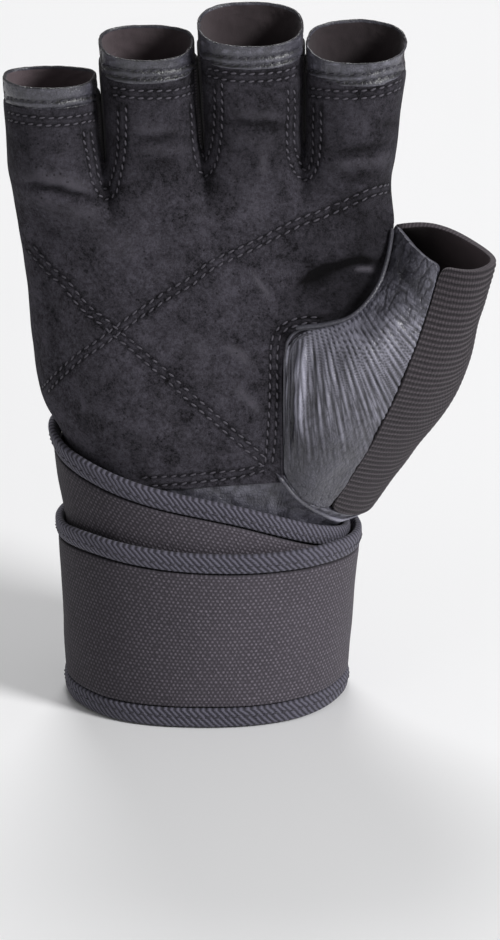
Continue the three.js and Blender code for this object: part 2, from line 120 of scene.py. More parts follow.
def to_pixels(points):
    """Photo pixel of each point in millimetres."""
    away = CAMERA_DISTANCE - (points - AIM) @ VIEW_BACK
    scale = PIXELS_PER_MM * CAMERA_DISTANCE / away
    x = PHOTO_WIDTH / 2 + scale * (points[:, 0] - AIM_X)
    y = PHOTO_HEIGHT / 2 - scale * ((points - AIM) @ VIEW_UP)
    return x, y


def pixel_ray(px, py):
    """Start and direction, in metres, of the line of sight through a photo pixel."""
    right = (px - PHOTO_WIDTH / 2) / PIXELS_PER_MM
    up = (PHOTO_HEIGHT / 2 - py) / PIXELS_PER_MM
    target = AIM + np.array((right, 0.0, 0.0)) + VIEW_UP * up
    ray = target - EYE
    return Vector(EYE * MM), Vector(ray / np.linalg.norm(ray))


# Shader helpers

def rgb(code):
    """Linear colour of an sRGB hex code."""
    parts = [int(code[i:i + 2], 16) / 255 for i in (1, 3, 5)]
    linear = [c / 12.92 if c <= 0.04045 else ((c + 0.055) / 1.055) ** 2.4 for c in parts]
    return (*linear, 1.0)


def add(tree, kind, sockets, out=0, **settings):
    """Adds a shader node and gives back one of its outputs. Its sockets, named or counted, take values or
    other nodes' outputs."""
    node = tree.nodes.new("ShaderNode" + kind)
    for name, value in settings.items():
        setattr(node, name, value)
    for name, value in sockets.items():
        if isinstance(value, bpy.types.NodeSocket):
            tree.links.new(value, node.inputs[name])
        else:
            node.inputs[name].default_value = value
    return node.outputs[out]


def in_mm(tree, source="Object", scale=(1, 1, 1)):
    """Object or UV coordinates in millimetres."""
    place = add(tree, "TexCoord", {}, source)
    return add(tree, "VectorMath", {0: place, 1: tuple(s / MM for s in scale)}, operation="MULTIPLY")


def mottled(tree, place, size_mm, span=(0, 1), detail=3.0, roughness=0.55, distortion=0.0):
    """Cloudy pattern of a real size; span is the part of its range that is stretched to 0 to 1."""
    cloud = add(tree, "TexNoise", {
        "Vector": place, "Scale": 1 / size_mm,
        "Detail": detail, "Roughness": roughness, "Distortion": distortion,
    })
    return add(tree, "MapRange", {0: cloud, 1: span[0], 2: span[1]})


def ripple(tree, run, spacing):
    """Smooth rise and fall between 0 and 1 along a run, both in millimetres."""
    phase = add(tree, "Math", {0: run, 1: math.tau / spacing}, operation="MULTIPLY")
    wave = add(tree, "Math", {0: phase}, operation="SINE")
    return add(tree, "Math", {0: wave, 1: 0.5, 2: 0.5}, operation="MULTIPLY_ADD")


def stained(tree, colour, other, amount, share=1.0):
    """Colour moved towards another by a share of an amount."""
    factor = add(tree, "Math", {0: amount, 1: share}, operation="MULTIPLY", use_clamp=True)
    return add(tree, "Mix", {0: factor, 6: colour, 7: other}, 2, data_type="RGBA")


def with_wear_and_painted_light(tree, colour, light, dark, share=0.85):
    """Colour moved towards light where the wear attribute is above 0 and towards dark where it is below 0:
    rubbed wear and painted highlights, and painted shade where the piece is sunk.
    """
    wear_and_painted_light = add(tree, "Attribute", {}, "Fac", attribute_name="wear_and_painted_light")
    return stained(tree, stained(tree, colour, light, wear_and_painted_light, share), dark, wear_and_painted_light, -share)


def painted_light_across(tree, colour, low, high, tones):
    """Colour times a tone of painted light and shade that changes with X; each tone has its share of the run
    from low to high mm.
    """
    share = add(tree, "MapRange", {0: add(tree, "SeparateXYZ", {0: in_mm(tree)}), 1: low, 2: high})
    top = max(tone for place, tone in tones)
    shade = add(tree, "ValToRGB", {0: share})
    elements = shade.node.color_ramp.elements
    for _ in tones[2:]:
        elements.new(1.0)
    for element, (place, tone) in zip(elements, tones):
        element.position = place
        element.color = (tone / top,) * 3 + (1,)
    for tint in ((top, top, top, 1.0), shade):
        colour = add(tree, "Mix", {0: 1.0, 6: colour, 7: tint}, 2, data_type="RGBA", blend_type="MULTIPLY")
    return colour


def embossed(tree, *layers):
    """Surface direction raised by each layer's height, with its depth in millimetres."""
    sockets = {}
    for height, depth in layers:
        sockets.update({"Height": height, "Distance": depth * MM})
        sockets["Normal"] = add(tree, "Bump", sockets)
    return sockets["Normal"]


def cloth(roughness, specular, sheen, sheen_roughness=0.5):
    """Surface values of a dull cloth or nap with a thin veil of fibre ends."""
    return {
        "Roughness": roughness, "Specular IOR Level": specular,
        "Sheen Weight": sheen, "Sheen Roughness": sheen_roughness,
    }


def new_material(name, settings):
    """Material with a principled surface that has these values on its sockets."""
    material = bpy.data.materials.new(name)
    material.use_nodes = True
    tree = material.node_tree
    surface = tree.nodes["Principled BSDF"]
    for key, value in settings.items():
        surface.inputs[key].default_value = value
    return material, tree, surface


def finish_surface(tree, surface, colour, *layers):
    """Links the colour and the embossed layers to the surface."""
    tree.links.new(colour, surface.inputs["Base Color"])
    if layers:
        tree.links.new(embossed(tree, *layers), surface.inputs["Normal"])


# Materials

def suede_material():
    """Brushed pigskin: dark nap with lighter rubbed patches and small dark pores, with painted shade beside
    the thumb and painted light from the wear attribute.
    """
    material, tree, surface = new_material("charcoal_suede", cloth(0.95, 0.12, 0.06))
    surface.inputs["Sheen Tint"].default_value = rgb("#8a8790")
    place = in_mm(tree)
    patches = mottled(tree, place, 12, (0.38, 0.62), 5, 0.7, 0.6)
    blotches = mottled(tree, place, 3.0, (0.38, 0.62), 5, 0.8, 0.4)
    nap = mottled(tree, place, 1.1, (0.38, 0.62), 5, 0.8)
    fine = mottled(tree, place, 0.42, (0.36, 0.64), 3, 0.8)
    mottle = 0.0
    for layer, share in ((patches, 0.26), (blotches, 0.26), (nap, 0.30), (fine, 0.20)):
        mottle = add(tree, "Math", {0: layer, 1: share, 2: mottle}, operation="MULTIPLY_ADD")
    napped = add(tree, "MapRange", {0: mottle, 1: 0.18, 2: 0.82})
    grain = stained(tree, rgb("#151417"), rgb("#54515a"), napped)
    across, _, up = add(tree, "SeparateXYZ", {0: place}).node.outputs
    # Painted shade beside the thumb and below the index finger; the fingers are made darker as well.
    beside_thumb = add(tree, "MapRange", {0: across, 1: 15.0, 2: 40.0})
    below_index = add(tree, "MapRange", {0: up, 1: 155.0, 2: 125.0})
    shaded = add(tree, "Math", {0: beside_thumb, 1: below_index}, operation="MULTIPLY")
    on_fingers = add(tree, "MapRange", {0: up, 1: 138.0, 2: 158.0})
    toned = stained(tree, grain, rgb("#141316"), shaded, 0.6)
    toned = stained(tree, toned, rgb("#141316"), on_fingers, 0.3)
    # Rubbed wear, painted highlights and painted shade from the wear attribute
    toned = with_wear_and_painted_light(tree, toned, rgb("#5f5c64"), rgb("#0c0b0d"))
    dots = add(tree, "TexVoronoi", {"Vector": place, "Scale": 1 / PORE_SPACING})
    pores = add(tree, "MapRange", {0: dots, 1: 0.10, 2: 0.24, 3: 1.0, 4: 0.0})
    sparse = mottled(tree, place, 5, (0.42, 0.58), 2)
    pitted = add(tree, "Math", {0: pores, 1: sparse}, operation="MULTIPLY")
    colour = stained(tree, toned, rgb("#0e0d0f"), pitted, 0.7)
    sunk = add(tree, "Math", {0: pitted, 1: -1.0}, operation="MULTIPLY")
    finish_surface(tree, surface, colour, (nap, 0.16), (fine, 0.10), (sunk, 0.12))
    return material


def leather_material():
    """Smooth full-grain leather with a fine pebble and crease net, rubbed lighter in patches, with painted
    highlights and shade from the wear attribute.
    """
    material, tree, surface = new_material("smooth_grain_leather", {
        "Specular IOR Level": 0.6, "Coat Weight": 0.14, "Coat Roughness": 0.3,
    })
    place = in_mm(tree)
    net = add(tree, "TexVoronoi", {"Vector": place, "Scale": 1 / PEBBLE_SIZE}, feature="DISTANCE_TO_EDGE")
    pebble = add(tree, "MapRange", {0: net, 1: 0.0, 2: 0.22})
    soft = mottled(tree, place, 5.5, (0.33, 0.68), 5, 0.6, 0.8)
    streaks = mottled(tree, in_mm(tree, "Object", (1.4, 1.4, 0.35)), 1.1, (0.35, 0.7), 4, 0.65)
    fine = mottled(tree, place, 0.35, detail=3, roughness=0.7)
    base = stained(tree, rgb("#414048"), rgb("#53525d"), soft)
    rubbed = stained(tree, base, rgb("#6f6e7a"), streaks, 0.3)
    between = add(tree, "Math", {0: pebble, 1: -0.35, 2: 0.35}, operation="MULTIPLY_ADD")
    colour = stained(tree, rubbed, rgb("#1c1c20"), between)
    # Painted highlights on ridges and painted shade in creases, with the rubbed wear, from the wear attribute
    colour = with_wear_and_painted_light(tree, colour, rgb("#a3a2b2"), rgb("#0e0e11"))
    dry = add(tree, "MapRange", {0: fine, 1: 0.3, 2: 0.75, 3: 0.34, 4: 0.5})
    tree.links.new(dry, surface.inputs["Roughness"])
    finish_surface(tree, surface, colour, (pebble, 0.06), (soft, 0.12), (fine, 0.03))
    return material


def stretch_material():
    """Matte stretch jersey: tiny upright stitches."""
    material, tree, surface = new_material("stretch_jersey", cloth(0.9, 0.15, 0.08))
    place = in_mm(tree)
    wales = add(tree, "TexWave", {
        "Vector": place, "Scale": WAVE_UNIT / JERSEY_WALE,
        "Distortion": 0.4, "Detail": 1.0, "Detail Scale": 2.0,
    }, "Fac", bands_direction="X")
    courses = add(tree, "TexWave", {
        "Vector": place, "Scale": WAVE_UNIT / JERSEY_COURSE,
    }, "Fac", bands_direction="Z")
    loops = add(tree, "Math", {0: wales, 1: courses}, operation="MULTIPLY")
    base = stained(tree, rgb("#262427"), rgb("#343135"), mottled(tree, place, 12))
    finish_surface(tree, surface, stained(tree, base, rgb("#534f55"), loops), (loops, 0.18))
    return material


def knit_material():
    """Ribbed elastic: rounded ribs across the thumb, each crossed by small covered cords."""
    material, tree, surface = new_material("ribbed_elastic", cloth(0.85, 0.2, 0.08))
    place = in_mm(tree, "UV")
    across, along, _ = add(tree, "SeparateXYZ", {0: place}).node.outputs
    uneven = mottled(tree, place, 1.8, roughness=0.7)
    swayed = add(tree, "Math", {0: uneven, 1: 0.5, 2: along}, operation="MULTIPLY_ADD")
    rib = ripple(tree, swayed, KNIT_RIB)
    cord = ripple(tree, across, KNIT_CORD)
    fuzz = mottled(tree, place, 0.45, (0.3, 0.7), 3, 0.85)
    height = add(tree, "Math", {0: cord, 1: 0.35, 2: rib}, operation="MULTIPLY_ADD")
    raised = add(tree, "MapRange", {0: rib, 1: 0.15, 2: 0.85})
    covered = add(tree, "Math", {0: cord, 1: 0.6, 2: 0.4}, operation="MULTIPLY_ADD")
    lit = add(tree, "Math", {0: raised, 1: covered}, operation="MULTIPLY")
    base = stained(tree, rgb("#171417"), rgb("#5b5459"), lit)
    toned = stained(tree, base, rgb("#262326"), mottled(tree, in_mm(tree), 9), 0.35)
    colour = stained(tree, toned, rgb("#5f595f"), fuzz, 0.3)
    finish_surface(tree, surface, colour, (height, 0.24), (fuzz, 0.08))
    return material


def webbing_material():
    """Plain woven elastic webbing: rows of raised floats, staggered from row to row."""
    material, tree, surface = new_material("woven_webbing", cloth(0.85, 0.2, 0.06))
    place = in_mm(tree, "UV")
    across, along, _ = add(tree, "SeparateXYZ", {0: place}).node.outputs
    sway = mottled(tree, place, 2.4, roughness=0.75)
    sway = add(tree, "Math", {0: sway, 1: 0.7}, operation="MULTIPLY")
    lean = mottled(tree, place, 1.1, detail=2, roughness=0.7)
    lean = add(tree, "Math", {0: lean, 1: 0.45}, operation="MULTIPLY")
    column = add(tree, "Math", {0: across, 1: 1 / WEAVE_ACROSS, 2: sway}, operation="MULTIPLY_ADD")
    row = add(tree, "Math", {0: along, 1: 1 / WEAVE_ROW, 2: lean}, operation="MULTIPLY_ADD")
    row_number = add(tree, "Math", {0: row}, operation="FLOOR")
    odd = add(tree, "Math", {0: row_number, 1: 2.0}, operation="MODULO")
    staggered = add(tree, "Math", {0: odd, 1: 0.5, 2: column}, operation="MULTIPLY_ADD")
    in_row = add(tree, "Math", {0: row}, operation="FRACT")
    half_turn = add(tree, "Math", {0: in_row, 1: math.pi}, operation="MULTIPLY")
    hump = add(tree, "Math", {0: half_turn}, operation="SINE")
    floats = add(tree, "Math", {0: ripple(tree, staggered, 1), 1: hump}, operation="MULTIPLY")
    cloud = mottled(tree, place, 1.3, (0.34, 0.66), 4, 0.8)
    slack = add(tree, "MapRange", {0: cloud, 3: 0.15, 4: 1.0})
    uneven = add(tree, "Math", {0: floats, 1: slack}, operation="MULTIPLY")
    fuzz = mottled(tree, place, 0.35, roughness=0.8)
    deep = stained(tree, rgb("#272428"), rgb("#343035"), mottled(tree, in_mm(tree), 14))
    colour = stained(tree, deep, rgb("#6e6871"), add(tree, "MapRange", {0: uneven, 1: 0.1, 2: 0.75}))
    hairy = stained(tree, colour, rgb("#6e6973"), fuzz, 0.3)
    # Painted light and shade across the strap: darkest at the left, lightest right of the middle.
    hairy = painted_light_across(tree, hairy, -45.0, 45.0, [(0.0, 0.62), (0.28, 0.85), (0.6, 1.25), (1.0, 1.12)])
    finish_surface(tree, surface, hairy, (uneven, 0.2), (fuzz, 0.08))
    return material


def tape_material():
    """Twill binding tape: slanted ribs crossed by fine threads."""
    material, tree, surface = new_material("twill_tape", cloth(0.8, 0.25, 0.06))
    place = in_mm(tree, "UV")
    across, along, _ = add(tree, "SeparateXYZ", {0: place}).node.outputs
    slanted = add(tree, "Math", {0: along, 1: TAPE_SLANT, 2: across}, operation="MULTIPLY_ADD")
    uneven = mottled(tree, place, 2.2, roughness=0.7)
    swayed = add(tree, "Math", {0: uneven, 1: 0.8, 2: slanted}, operation="MULTIPLY_ADD")
    rib = ripple(tree, swayed, TAPE_RIB)
    fuzz = mottled(tree, place, 0.3, roughness=0.8)
    crossed = ripple(tree, along, TAPE_THREAD_SPACING)
    height = add(tree, "Math", {0: crossed, 1: 0.3, 2: rib}, operation="MULTIPLY_ADD")
    colour = stained(tree, rgb("#29272e"), rgb("#605e6b"), add(tree, "MapRange", {0: rib, 1: 0.1, 2: 0.8}))
    hairy = stained(tree, colour, rgb("#72707d"), fuzz, 0.22)
    finish_surface(tree, surface, hairy, (height, 0.25), (fuzz, 0.04))
    return material


def lining_material():
    """Thin brown-black tricot lining."""
    material, tree, surface = new_material("tricot_lining", cloth(0.95, 0.12, 0.1, 0.6))
    place = in_mm(tree)
    fine = mottled(tree, place, 0.4, roughness=0.8)
    base = stained(tree, rgb("#302a2c"), rgb("#423a3d"), mottled(tree, place, 8, detail=4))
    colour = stained(tree, base, rgb("#4d4447"), fine, 0.4)
    # Painted light inside the openings: lighter towards both sides, darkest a little right of the middle.
    colour = painted_light_across(tree, colour, -50.0, 80.0, [
        (0.0, 2.4), (0.12, 2.2), (0.3, 1.5), (0.5, 1.05), (0.7, 0.85), (0.84, 1.0), (0.9, 2.6), (1.0, 2.8),
    ])
    finish_surface(tree, surface, colour, (fine, 0.08))
    return material


def thread_material(name, dark, light):
    """Bonded sewing thread."""
    material, tree, surface = new_material(name, {"Roughness": 0.6, "Specular IOR Level": 0.3})
    twist = mottled(tree, in_mm(tree), 0.25, detail=2)
    finish_surface(tree, surface, stained(tree, rgb(dark), rgb(light), twist), (twist, 0.05))
    return material


def floor_material():
    """Plain pale studio floor."""
    material, tree, surface = new_material("studio_floor", {"Roughness": 0.7, "Specular IOR Level": 0.2})
    tone = mottled(tree, in_mm(tree), 300, detail=2)
    finish_surface(tree, surface, stained(tree, rgb("#f4f4f5"), rgb("#f8f8f9"), tone))
    return material


SUEDE = suede_material()
LEATHER = leather_material()
STRETCH = stretch_material()
KNIT = knit_material()
WEBBING = webbing_material()
TAPE = tape_material()
LINING = lining_material()
THREAD = thread_material("palm_thread", "#39373d", "#5c5962")
BAND_THREAD = thread_material("band_thread", "#242329", "#46454d")
TAPE_THREAD = thread_material("tape_thread", "#2a292f", "#4d4b54")


# Mesh helpers

def new_object(name, data, materials=()):
    """Object in the scene, with these materials in its slots."""
    obj = bpy.data.objects.new(name, data)
    bpy.context.scene.collection.objects.link(obj)
    for index, material in enumerate(materials):
        if index < len(data.materials):
            data.materials[index] = material
        else:
            data.materials.append(material)
    return obj


def solid_copy(node):
    """Copy of a frame node's mesh with its shared corners merged."""
    bm = bmesh.new()
    bm.from_mesh(NODES[node].data)
    bmesh.ops.remove_doubles(bm, verts=bm.verts, dist=WELD)
    bmesh.ops.recalc_face_normals(bm, faces=bm.faces)
    return bm


def patches_between_folds(bm, through_creases):
    """Groups of faces that no sharp edge parts; through_creases lets a sharp hollow edge be crossed."""
    todo = set(bm.faces)
    patches = []
    while todo:
        front = [todo.pop()]
        patch = set(front)
        while front:
            face = front.pop()
            for edge in face.edges:
                fold = edge.calc_face_angle_signed(0)
                if (fold if through_creases else abs(fold)) > RIM_FOLD:
                    continue
                for other in edge.link_faces:
                    if other in todo:
                        todo.discard(other)
                        patch.add(other)
                        front.append(other)
        patches.append(patch)
    return patches


def keep_outer_side(bm, into_slit):
    """Leaves only the outward side of a walled sheet; a strip in a slit has it on the hollow side."""
    centre = sum((v.co for v in bm.verts), Vector()) / len(bm.verts)
    area = lambda patch: sum(f.calc_area() for f in patch)

    def bulge(patch):
        flow = sum(f.calc_area() * f.normal.dot(f.calc_center_median() - centre) for f in patch)
        return flow / area(patch)

    patches = sorted(patches_between_folds(bm, into_slit), key=area)
    if into_slit:
        keep = max(patches, key=lambda p: (bulge(p) < 0, area(p)))
    else:
        keep = max(patches[-2:], key=bulge)
    bmesh.ops.delete(bm, geom=[f for f in bm.faces if f not in keep], context="FACES")


def walk_grid(bm):
    """Column and row of each face's corners, walked out from one face: across an edge the far corner is
    the sum of the edge's ends less the near corner."""
    bm.faces.ensure_lookup_table()
    first = bm.faces[0]
    places = {first: dict(zip(first.verts, ((0, 0), (1, 0), (0, 1))))}
    queue = [first]
    while queue:
        face = queue.pop(0)
        known = places[face]
        for edge in face.edges:
            p, q = edge.verts
            near = next(v for v in face.verts if v not in edge.verts)
            for other in edge.link_faces:
                if other in places:
                    continue
                far = next(v for v in other.verts if v not in edge.verts)
                place = tuple(known[p][k] + known[q][k] - known[near][k] for k in (0, 1))
                places[other] = {p: known[p], q: known[q], far: place}
                queue.append(other)
    return places


def edge_steps(bm, places):
    """Each edge with its first face, and the step in column and row from its first to its second end."""
    for edge in bm.edges:
        known = places[edge.link_faces[0]]
        a, b = edge.verts
        yield edge, (known[b][0] - known[a][0], known[b][1] - known[a][1])


def straighten(bm, places):
    """Turns the walked places into the columns and rows that fill their box best, with rows climbing."""
    def box_size(turn):
        spots = [turn(*p) for known in places.values() for p in known.values()]
        return np.prod([max(s[k] for s in spots) - min(s[k] for s in spots) for k in (0, 1)])

    readings = (lambda i, j: (i, j), lambda i, j: (i + j, i), lambda i, j: (i + j, -j))
    turn = min(readings, key=box_size)
    climb = [0.0, 0.0]
    for edge, step in edge_steps(bm, places):
        step = turn(*step)
        rise = edge.verts[1].co.z - edge.verts[0].co.z
        if step[0] == 0 or step[1] == 0:
            axis = 0 if step[1] == 0 else 1
            climb[axis] += rise * step[axis]
    swap = abs(climb[0]) > abs(climb[1])
    sign = 1 if climb[0 if swap else 1] > 0 else -1

    def final(place):
        i, j = turn(*place)
        return (j, sign * i) if swap else (i, sign * j)

    placed = {f: {v: final(p) for v, p in known.items()} for f, known in places.items()}
    mirror = 0.0
    for face, known in placed.items():
        a, b, c = face.verts
        (ai, aj), (bi, bj), (ci, cj) = known[a], known[b], known[c]
        mirror += (bi - ai) * (cj - aj) - (bj - aj) * (ci - ai)
    if mirror < 0:
        placed = {f: {v: (-i, j) for v, (i, j) in known.items()} for f, known in placed.items()}
    low = [min(p[k] for known in placed.values() for p in known.values()) for k in (0, 1)]
    return {f: {v: (i - low[0], j - low[1]) for v, (i, j) in known.items()} for f, known in placed.items()}


def lay_grid(bm):
    """Joins a sheet's triangles into its quads and gives back its flat size; layer grid keeps each corner's
    column and row, and layer UVMap the flat cloth in metres."""
    places = straighten(bm, walk_grid(bm))
    grid = bm.loops.layers.uv.new("UVMap")
    cell = bm.loops.layers.uv.new("grid")
    runs = ({}, {})
    diagonals = []
    for edge, (di, dj) in edge_steps(bm, places):
        if di and dj:
            diagonals.append(edge)
            continue
        axis = 0 if dj == 0 else 1
        known = places[edge.link_faces[0]]
        start = min(known[v][axis] for v in edge.verts)
        runs[axis].setdefault(start, []).append(edge.calc_length())
    reach = []
    for axis in (0, 1):
        total = [0.0]
        for k in sorted(runs[axis]):
            total.append(total[-1] + sum(runs[axis][k]) / len(runs[axis][k]))
        reach.append(total)
    for face, known in places.items():
        for loop in face.loops:
            i, j = known[loop.vert]
            loop[cell].uv = (i, j)
            loop[grid].uv = (reach[0][i], reach[1][j])
    bmesh.ops.dissolve_edges(bm, edges=diagonals, use_verts=False, use_face_split=False)
    return reach[0][-1], reach[1][-1]


def quad_sheet(node, into_slit=False):
    """Outer side of a walled frame node, as a grid of quads, and its flat size."""
    bm = solid_copy(node)
    keep_outer_side(bm, into_slit)
    flat = lay_grid(bm)
    mark_out(bm)
    return bm, flat


def mark_out(bm):
    """Keeps the sheet's own outward direction on every corner."""
    out = bm.verts.layers.float_vector.get("out") or bm.verts.layers.float_vector.new("out")
    bm.normal_update()
    for vert in bm.verts:
        vert[out] = vert.normal


def grid_place(bm, vert):
    """Column and row of a vertex."""
    return vert.link_loops[0][bm.loops.layers.uv["grid"]].uv


def border(bm, test):
    """Border edges whose two ends both pass the test on their column and row."""
    return [e for e in bm.edges if e.is_boundary and all(test(*grid_place(bm, v)) for v in e.verts)]


def carry_on(bm, edges, steps):
    """Carries a border on: each step is a distance past the border and one along the normal, in mm, and the
    new faces' material."""
    past = {}
    for edge in edges:
        face = edge.link_faces[0]
        along = edge.verts[1].co - edge.verts[0].co
        out = along.cross(face.normal).normalized()
        if out.dot(edge.verts[0].co - face.calc_center_median()) < 0:
            out.negate()
        for vert in edge.verts:
            past[vert] = past.get(vert, Vector()) + out
    origin = {v: (v.co.copy(), past[v].normalized(), v.normal.copy(), v) for v in past}
    layer = bm.verts.layers.float_vector["out"]
    cell = bm.loops.layers.uv["grid"]
    flat = bm.loops.layers.uv["UVMap"]
    for forward, rise, material in steps:
        made = bmesh.ops.extrude_edge_only(bm, edges=edges)["geom"]
        new_edges = [g for g in made if isinstance(g, bmesh.types.BMEdge)]
        fresh = {v for e in new_edges for v in e.verts}
        moved = {}
        for vert in fresh:
            old = next(e.other_vert(vert) for e in vert.link_edges if e.other_vert(vert) in origin)
            base, out, normal, _ = origin[old]
            vert.co = base + out * (forward * MM) + normal * (rise * MM)
            vert[layer] = normal
            moved[vert] = origin[old]
        for face in {f for e in new_edges for f in e.link_faces}:
            face.material_index = material
            for loop in face.loops:
                root = (moved.get(loop.vert) or origin.get(loop.vert))[3]
                source = root.link_loops[0]
                loop[cell].uv = source[cell].uv
                shift = forward * MM if loop.vert in moved else 0.0
                loop[flat].uv = source[flat].uv + Vector((0.0, shift))
        origin = moved
        edges = new_edges
    bm.normal_update()
    return edges


def refined(bm, name, levels, wall=0.0, crease=0.6):
    """Smooth fine mesh of a coarse sheet, given its wall first so that its rims come out rounded."""
    mesh = bpy.data.meshes.new(name)
    bm.to_mesh(mesh)
    bm.free()
    obj = new_object(name, mesh, (None, None))
    if wall:
        shell = obj.modifiers.new("wall", "SOLIDIFY")
        shell.thickness = wall * MM
        shell.offset = -1
        shell.use_quality_normals = True
        shell.material_offset = 1
        shell.edge_crease_outer = crease
        shell.edge_crease_inner = crease
    finer = obj.modifiers.new("finer", "SUBSURF")
    finer.levels = levels
    finer.render_levels = levels
    finer.boundary_smooth = "PRESERVE_CORNERS"
    finer.uv_smooth = "NONE"
    done = bpy.data.meshes.new_from_object(obj.evaluated_get(bpy.context.evaluated_depsgraph_get()))
    done.name = name
    kept = read_values(done.polygons, "material_index", np.int32)
    done.materials.clear()
    bpy.data.objects.remove(obj)
    bpy.data.meshes.remove(mesh)
    shade_smooth(done)
    for _ in range(kept.max() + 1):
        done.materials.append(None)
    done.polygons.foreach_set("material_index", kept)
    return done


def read_values(items, key, kind=np.float32, width=1):
    """One value, or a row of them, for each item of a mesh."""
    values = np.empty(len(items) * width, kind)
    items.foreach_get(key, values)
    return values.reshape(-1, width) if width > 1 else values


def positions(mesh):
    """Place of each vertex in millimetres."""
    return read_values(mesh.vertices, "co", width=3).astype(float) / MM


def out_directions(mesh):
    """The sheet's outward direction at each vertex, kept through its wall and its smoothing."""
    out = read_values(mesh.attributes["out"].data, "vector", width=3).astype(float)
    return out / np.maximum(np.linalg.norm(out, axis=1), 1e-9)[:, None]


def vertex_normals(mesh):
    return read_values(mesh.vertex_normals, "vector", width=3)


def flat_places(mesh):
    """Place of each vertex on the flat cloth, in millimetres."""
    flat = np.zeros((len(mesh.vertices), 2))
    corner = read_values(mesh.loops, "vertex_index", np.int32)
    flat[corner] = read_values(mesh.uv_layers["UVMap"].data, "uv", width=2)
    return flat / MM


def move_points(mesh, points):
    mesh.vertices.foreach_set("co", (points * MM).astype(np.float32).ravel())
    mesh.update()


def mark_wear_and_painted_light(mesh, values):
    """Wear and painted light at each vertex for the materials: above 0 rubbed light or painted highlight,
    below 0 dark, painted shade where the piece is sunk.
    """
    layer = mesh.attributes.new("wear_and_painted_light", "FLOAT", "POINT")
    layer.data.foreach_set("value", values.astype(np.float32))


def shade_smooth(mesh):
    mesh.polygons.foreach_set("use_smooth", np.ones(len(mesh.polygons), bool))


def paint_turned_back(mesh, index):
    """Gives the outer faces that don't turn to the front another material."""
    facing = read_values(mesh.polygons, "normal", width=3)
    current = read_values(mesh.polygons, "material_index", np.int32)
    current[(facing[:, 1] > BAND_FRONT) & (current == 0)] = index
    mesh.polygons.foreach_set("material_index", current)


def place_piece(name, mesh, materials, node=None):
    """The mesh as a piece, which may stand for a frame node."""
    obj = new_object(name, mesh, materials)
    if node:
        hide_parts(node)
    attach(obj, "root")
    return obj


def stroke_distance(px, py, points):
    """Distance in photo pixels from each vertex to a polyline."""
    best = np.full(len(px), 1e9)
    for (ax, ay), (bx, by) in zip(points, points[1:]):
        dx, dy = bx - ax, by - ay
        t = np.clip(((px - ax) * dx + (py - ay) * dy) / (dx * dx + dy * dy), 0, 1)
        best = np.minimum(best, np.hypot(px - ax - t * dx, py - ay - t * dy))
    return best


def smooth_step(value):
    """Eased rise from 0 to 1."""
    t = np.clip(value, 0, 1)
    return t * t * (3 - 2 * t)


def eased(value, start, end):
    """Eased rise from 0 where the value is at its start to 1 at its end."""
    return smooth_step((value - start) / (end - start))


def curve_through(points, steps=8):
    """Smooth polyline through a few given pixels."""
    p = [np.array(q, float) for q in points]
    p = [2 * p[0] - p[1]] + p + [2 * p[-1] - p[-2]]
    out = []
    for k in range(1, len(p) - 2):
        for s in range(steps):
            t = s / steps
            cubic = -p[k - 1] + 3 * p[k] - 3 * p[k + 1] + p[k + 2]
            square = 2 * p[k - 1] - 5 * p[k] + 4 * p[k + 1] - p[k + 2]
            out.append(0.5 * (2 * p[k] + (p[k + 1] - p[k - 1]) * t + square * t * t + cubic * t ** 3))
    out.append(p[-2])
    return [tuple(q) for q in out]


def beside(points, offset):
    """Polyline moved sideways by a few pixels."""
    p = np.array(points, float)
    run = np.gradient(p, axis=0)
    run /= np.linalg.norm(run, axis=1)[:, None]
    return [tuple(q) for q in p + np.stack([-run[:, 1], run[:, 0]], 1) * offset]


def wander(points, size, seed):
    """Smooth random height over space, from sine waves in fixed random directions."""
    rng = np.random.default_rng(seed)
    total = np.zeros(len(points))
    for octave in range(3):
        for _ in range(5):
            direction = rng.normal(size=3)
            direction /= np.linalg.norm(direction)
            phase = rng.uniform(0, math.tau)
            wave = math.tau / (size * 0.6 ** octave * rng.uniform(0.8, 1.3))
            total += np.sin(points @ direction * wave + phase) * 0.5 ** octave
    return total / 4


def creases(points, size, width, seed):
    """1 along thin wandering lines about half a size apart, 0 between them."""
    return np.exp(-(wander(points, size, seed) / width) ** 2)


# Stitch rows: pixels in the photograph, on the piece that carries them

CROSS_DOWN_LEFT = [
    (390, 188), (370, 193), (341, 206), (320, 215), (300, 222), (280, 232), (250, 247), (212, 265),
    (190, 282), (172, 292), (148, 308), (132, 319), (115, 332), (96, 346), (83, 354), (70, 365),
    (56, 378), (45, 390),
]
CROSS_DOWN_RIGHT = [
    (30, 247), (48, 268), (64, 282), (76, 297), (89, 311), (104, 322), (115, 332), (132, 346),
    (148, 360), (167, 376), (183, 391), (198, 404), (212, 416), (226, 428), (242, 442), (257, 455),
    (266, 465),
]
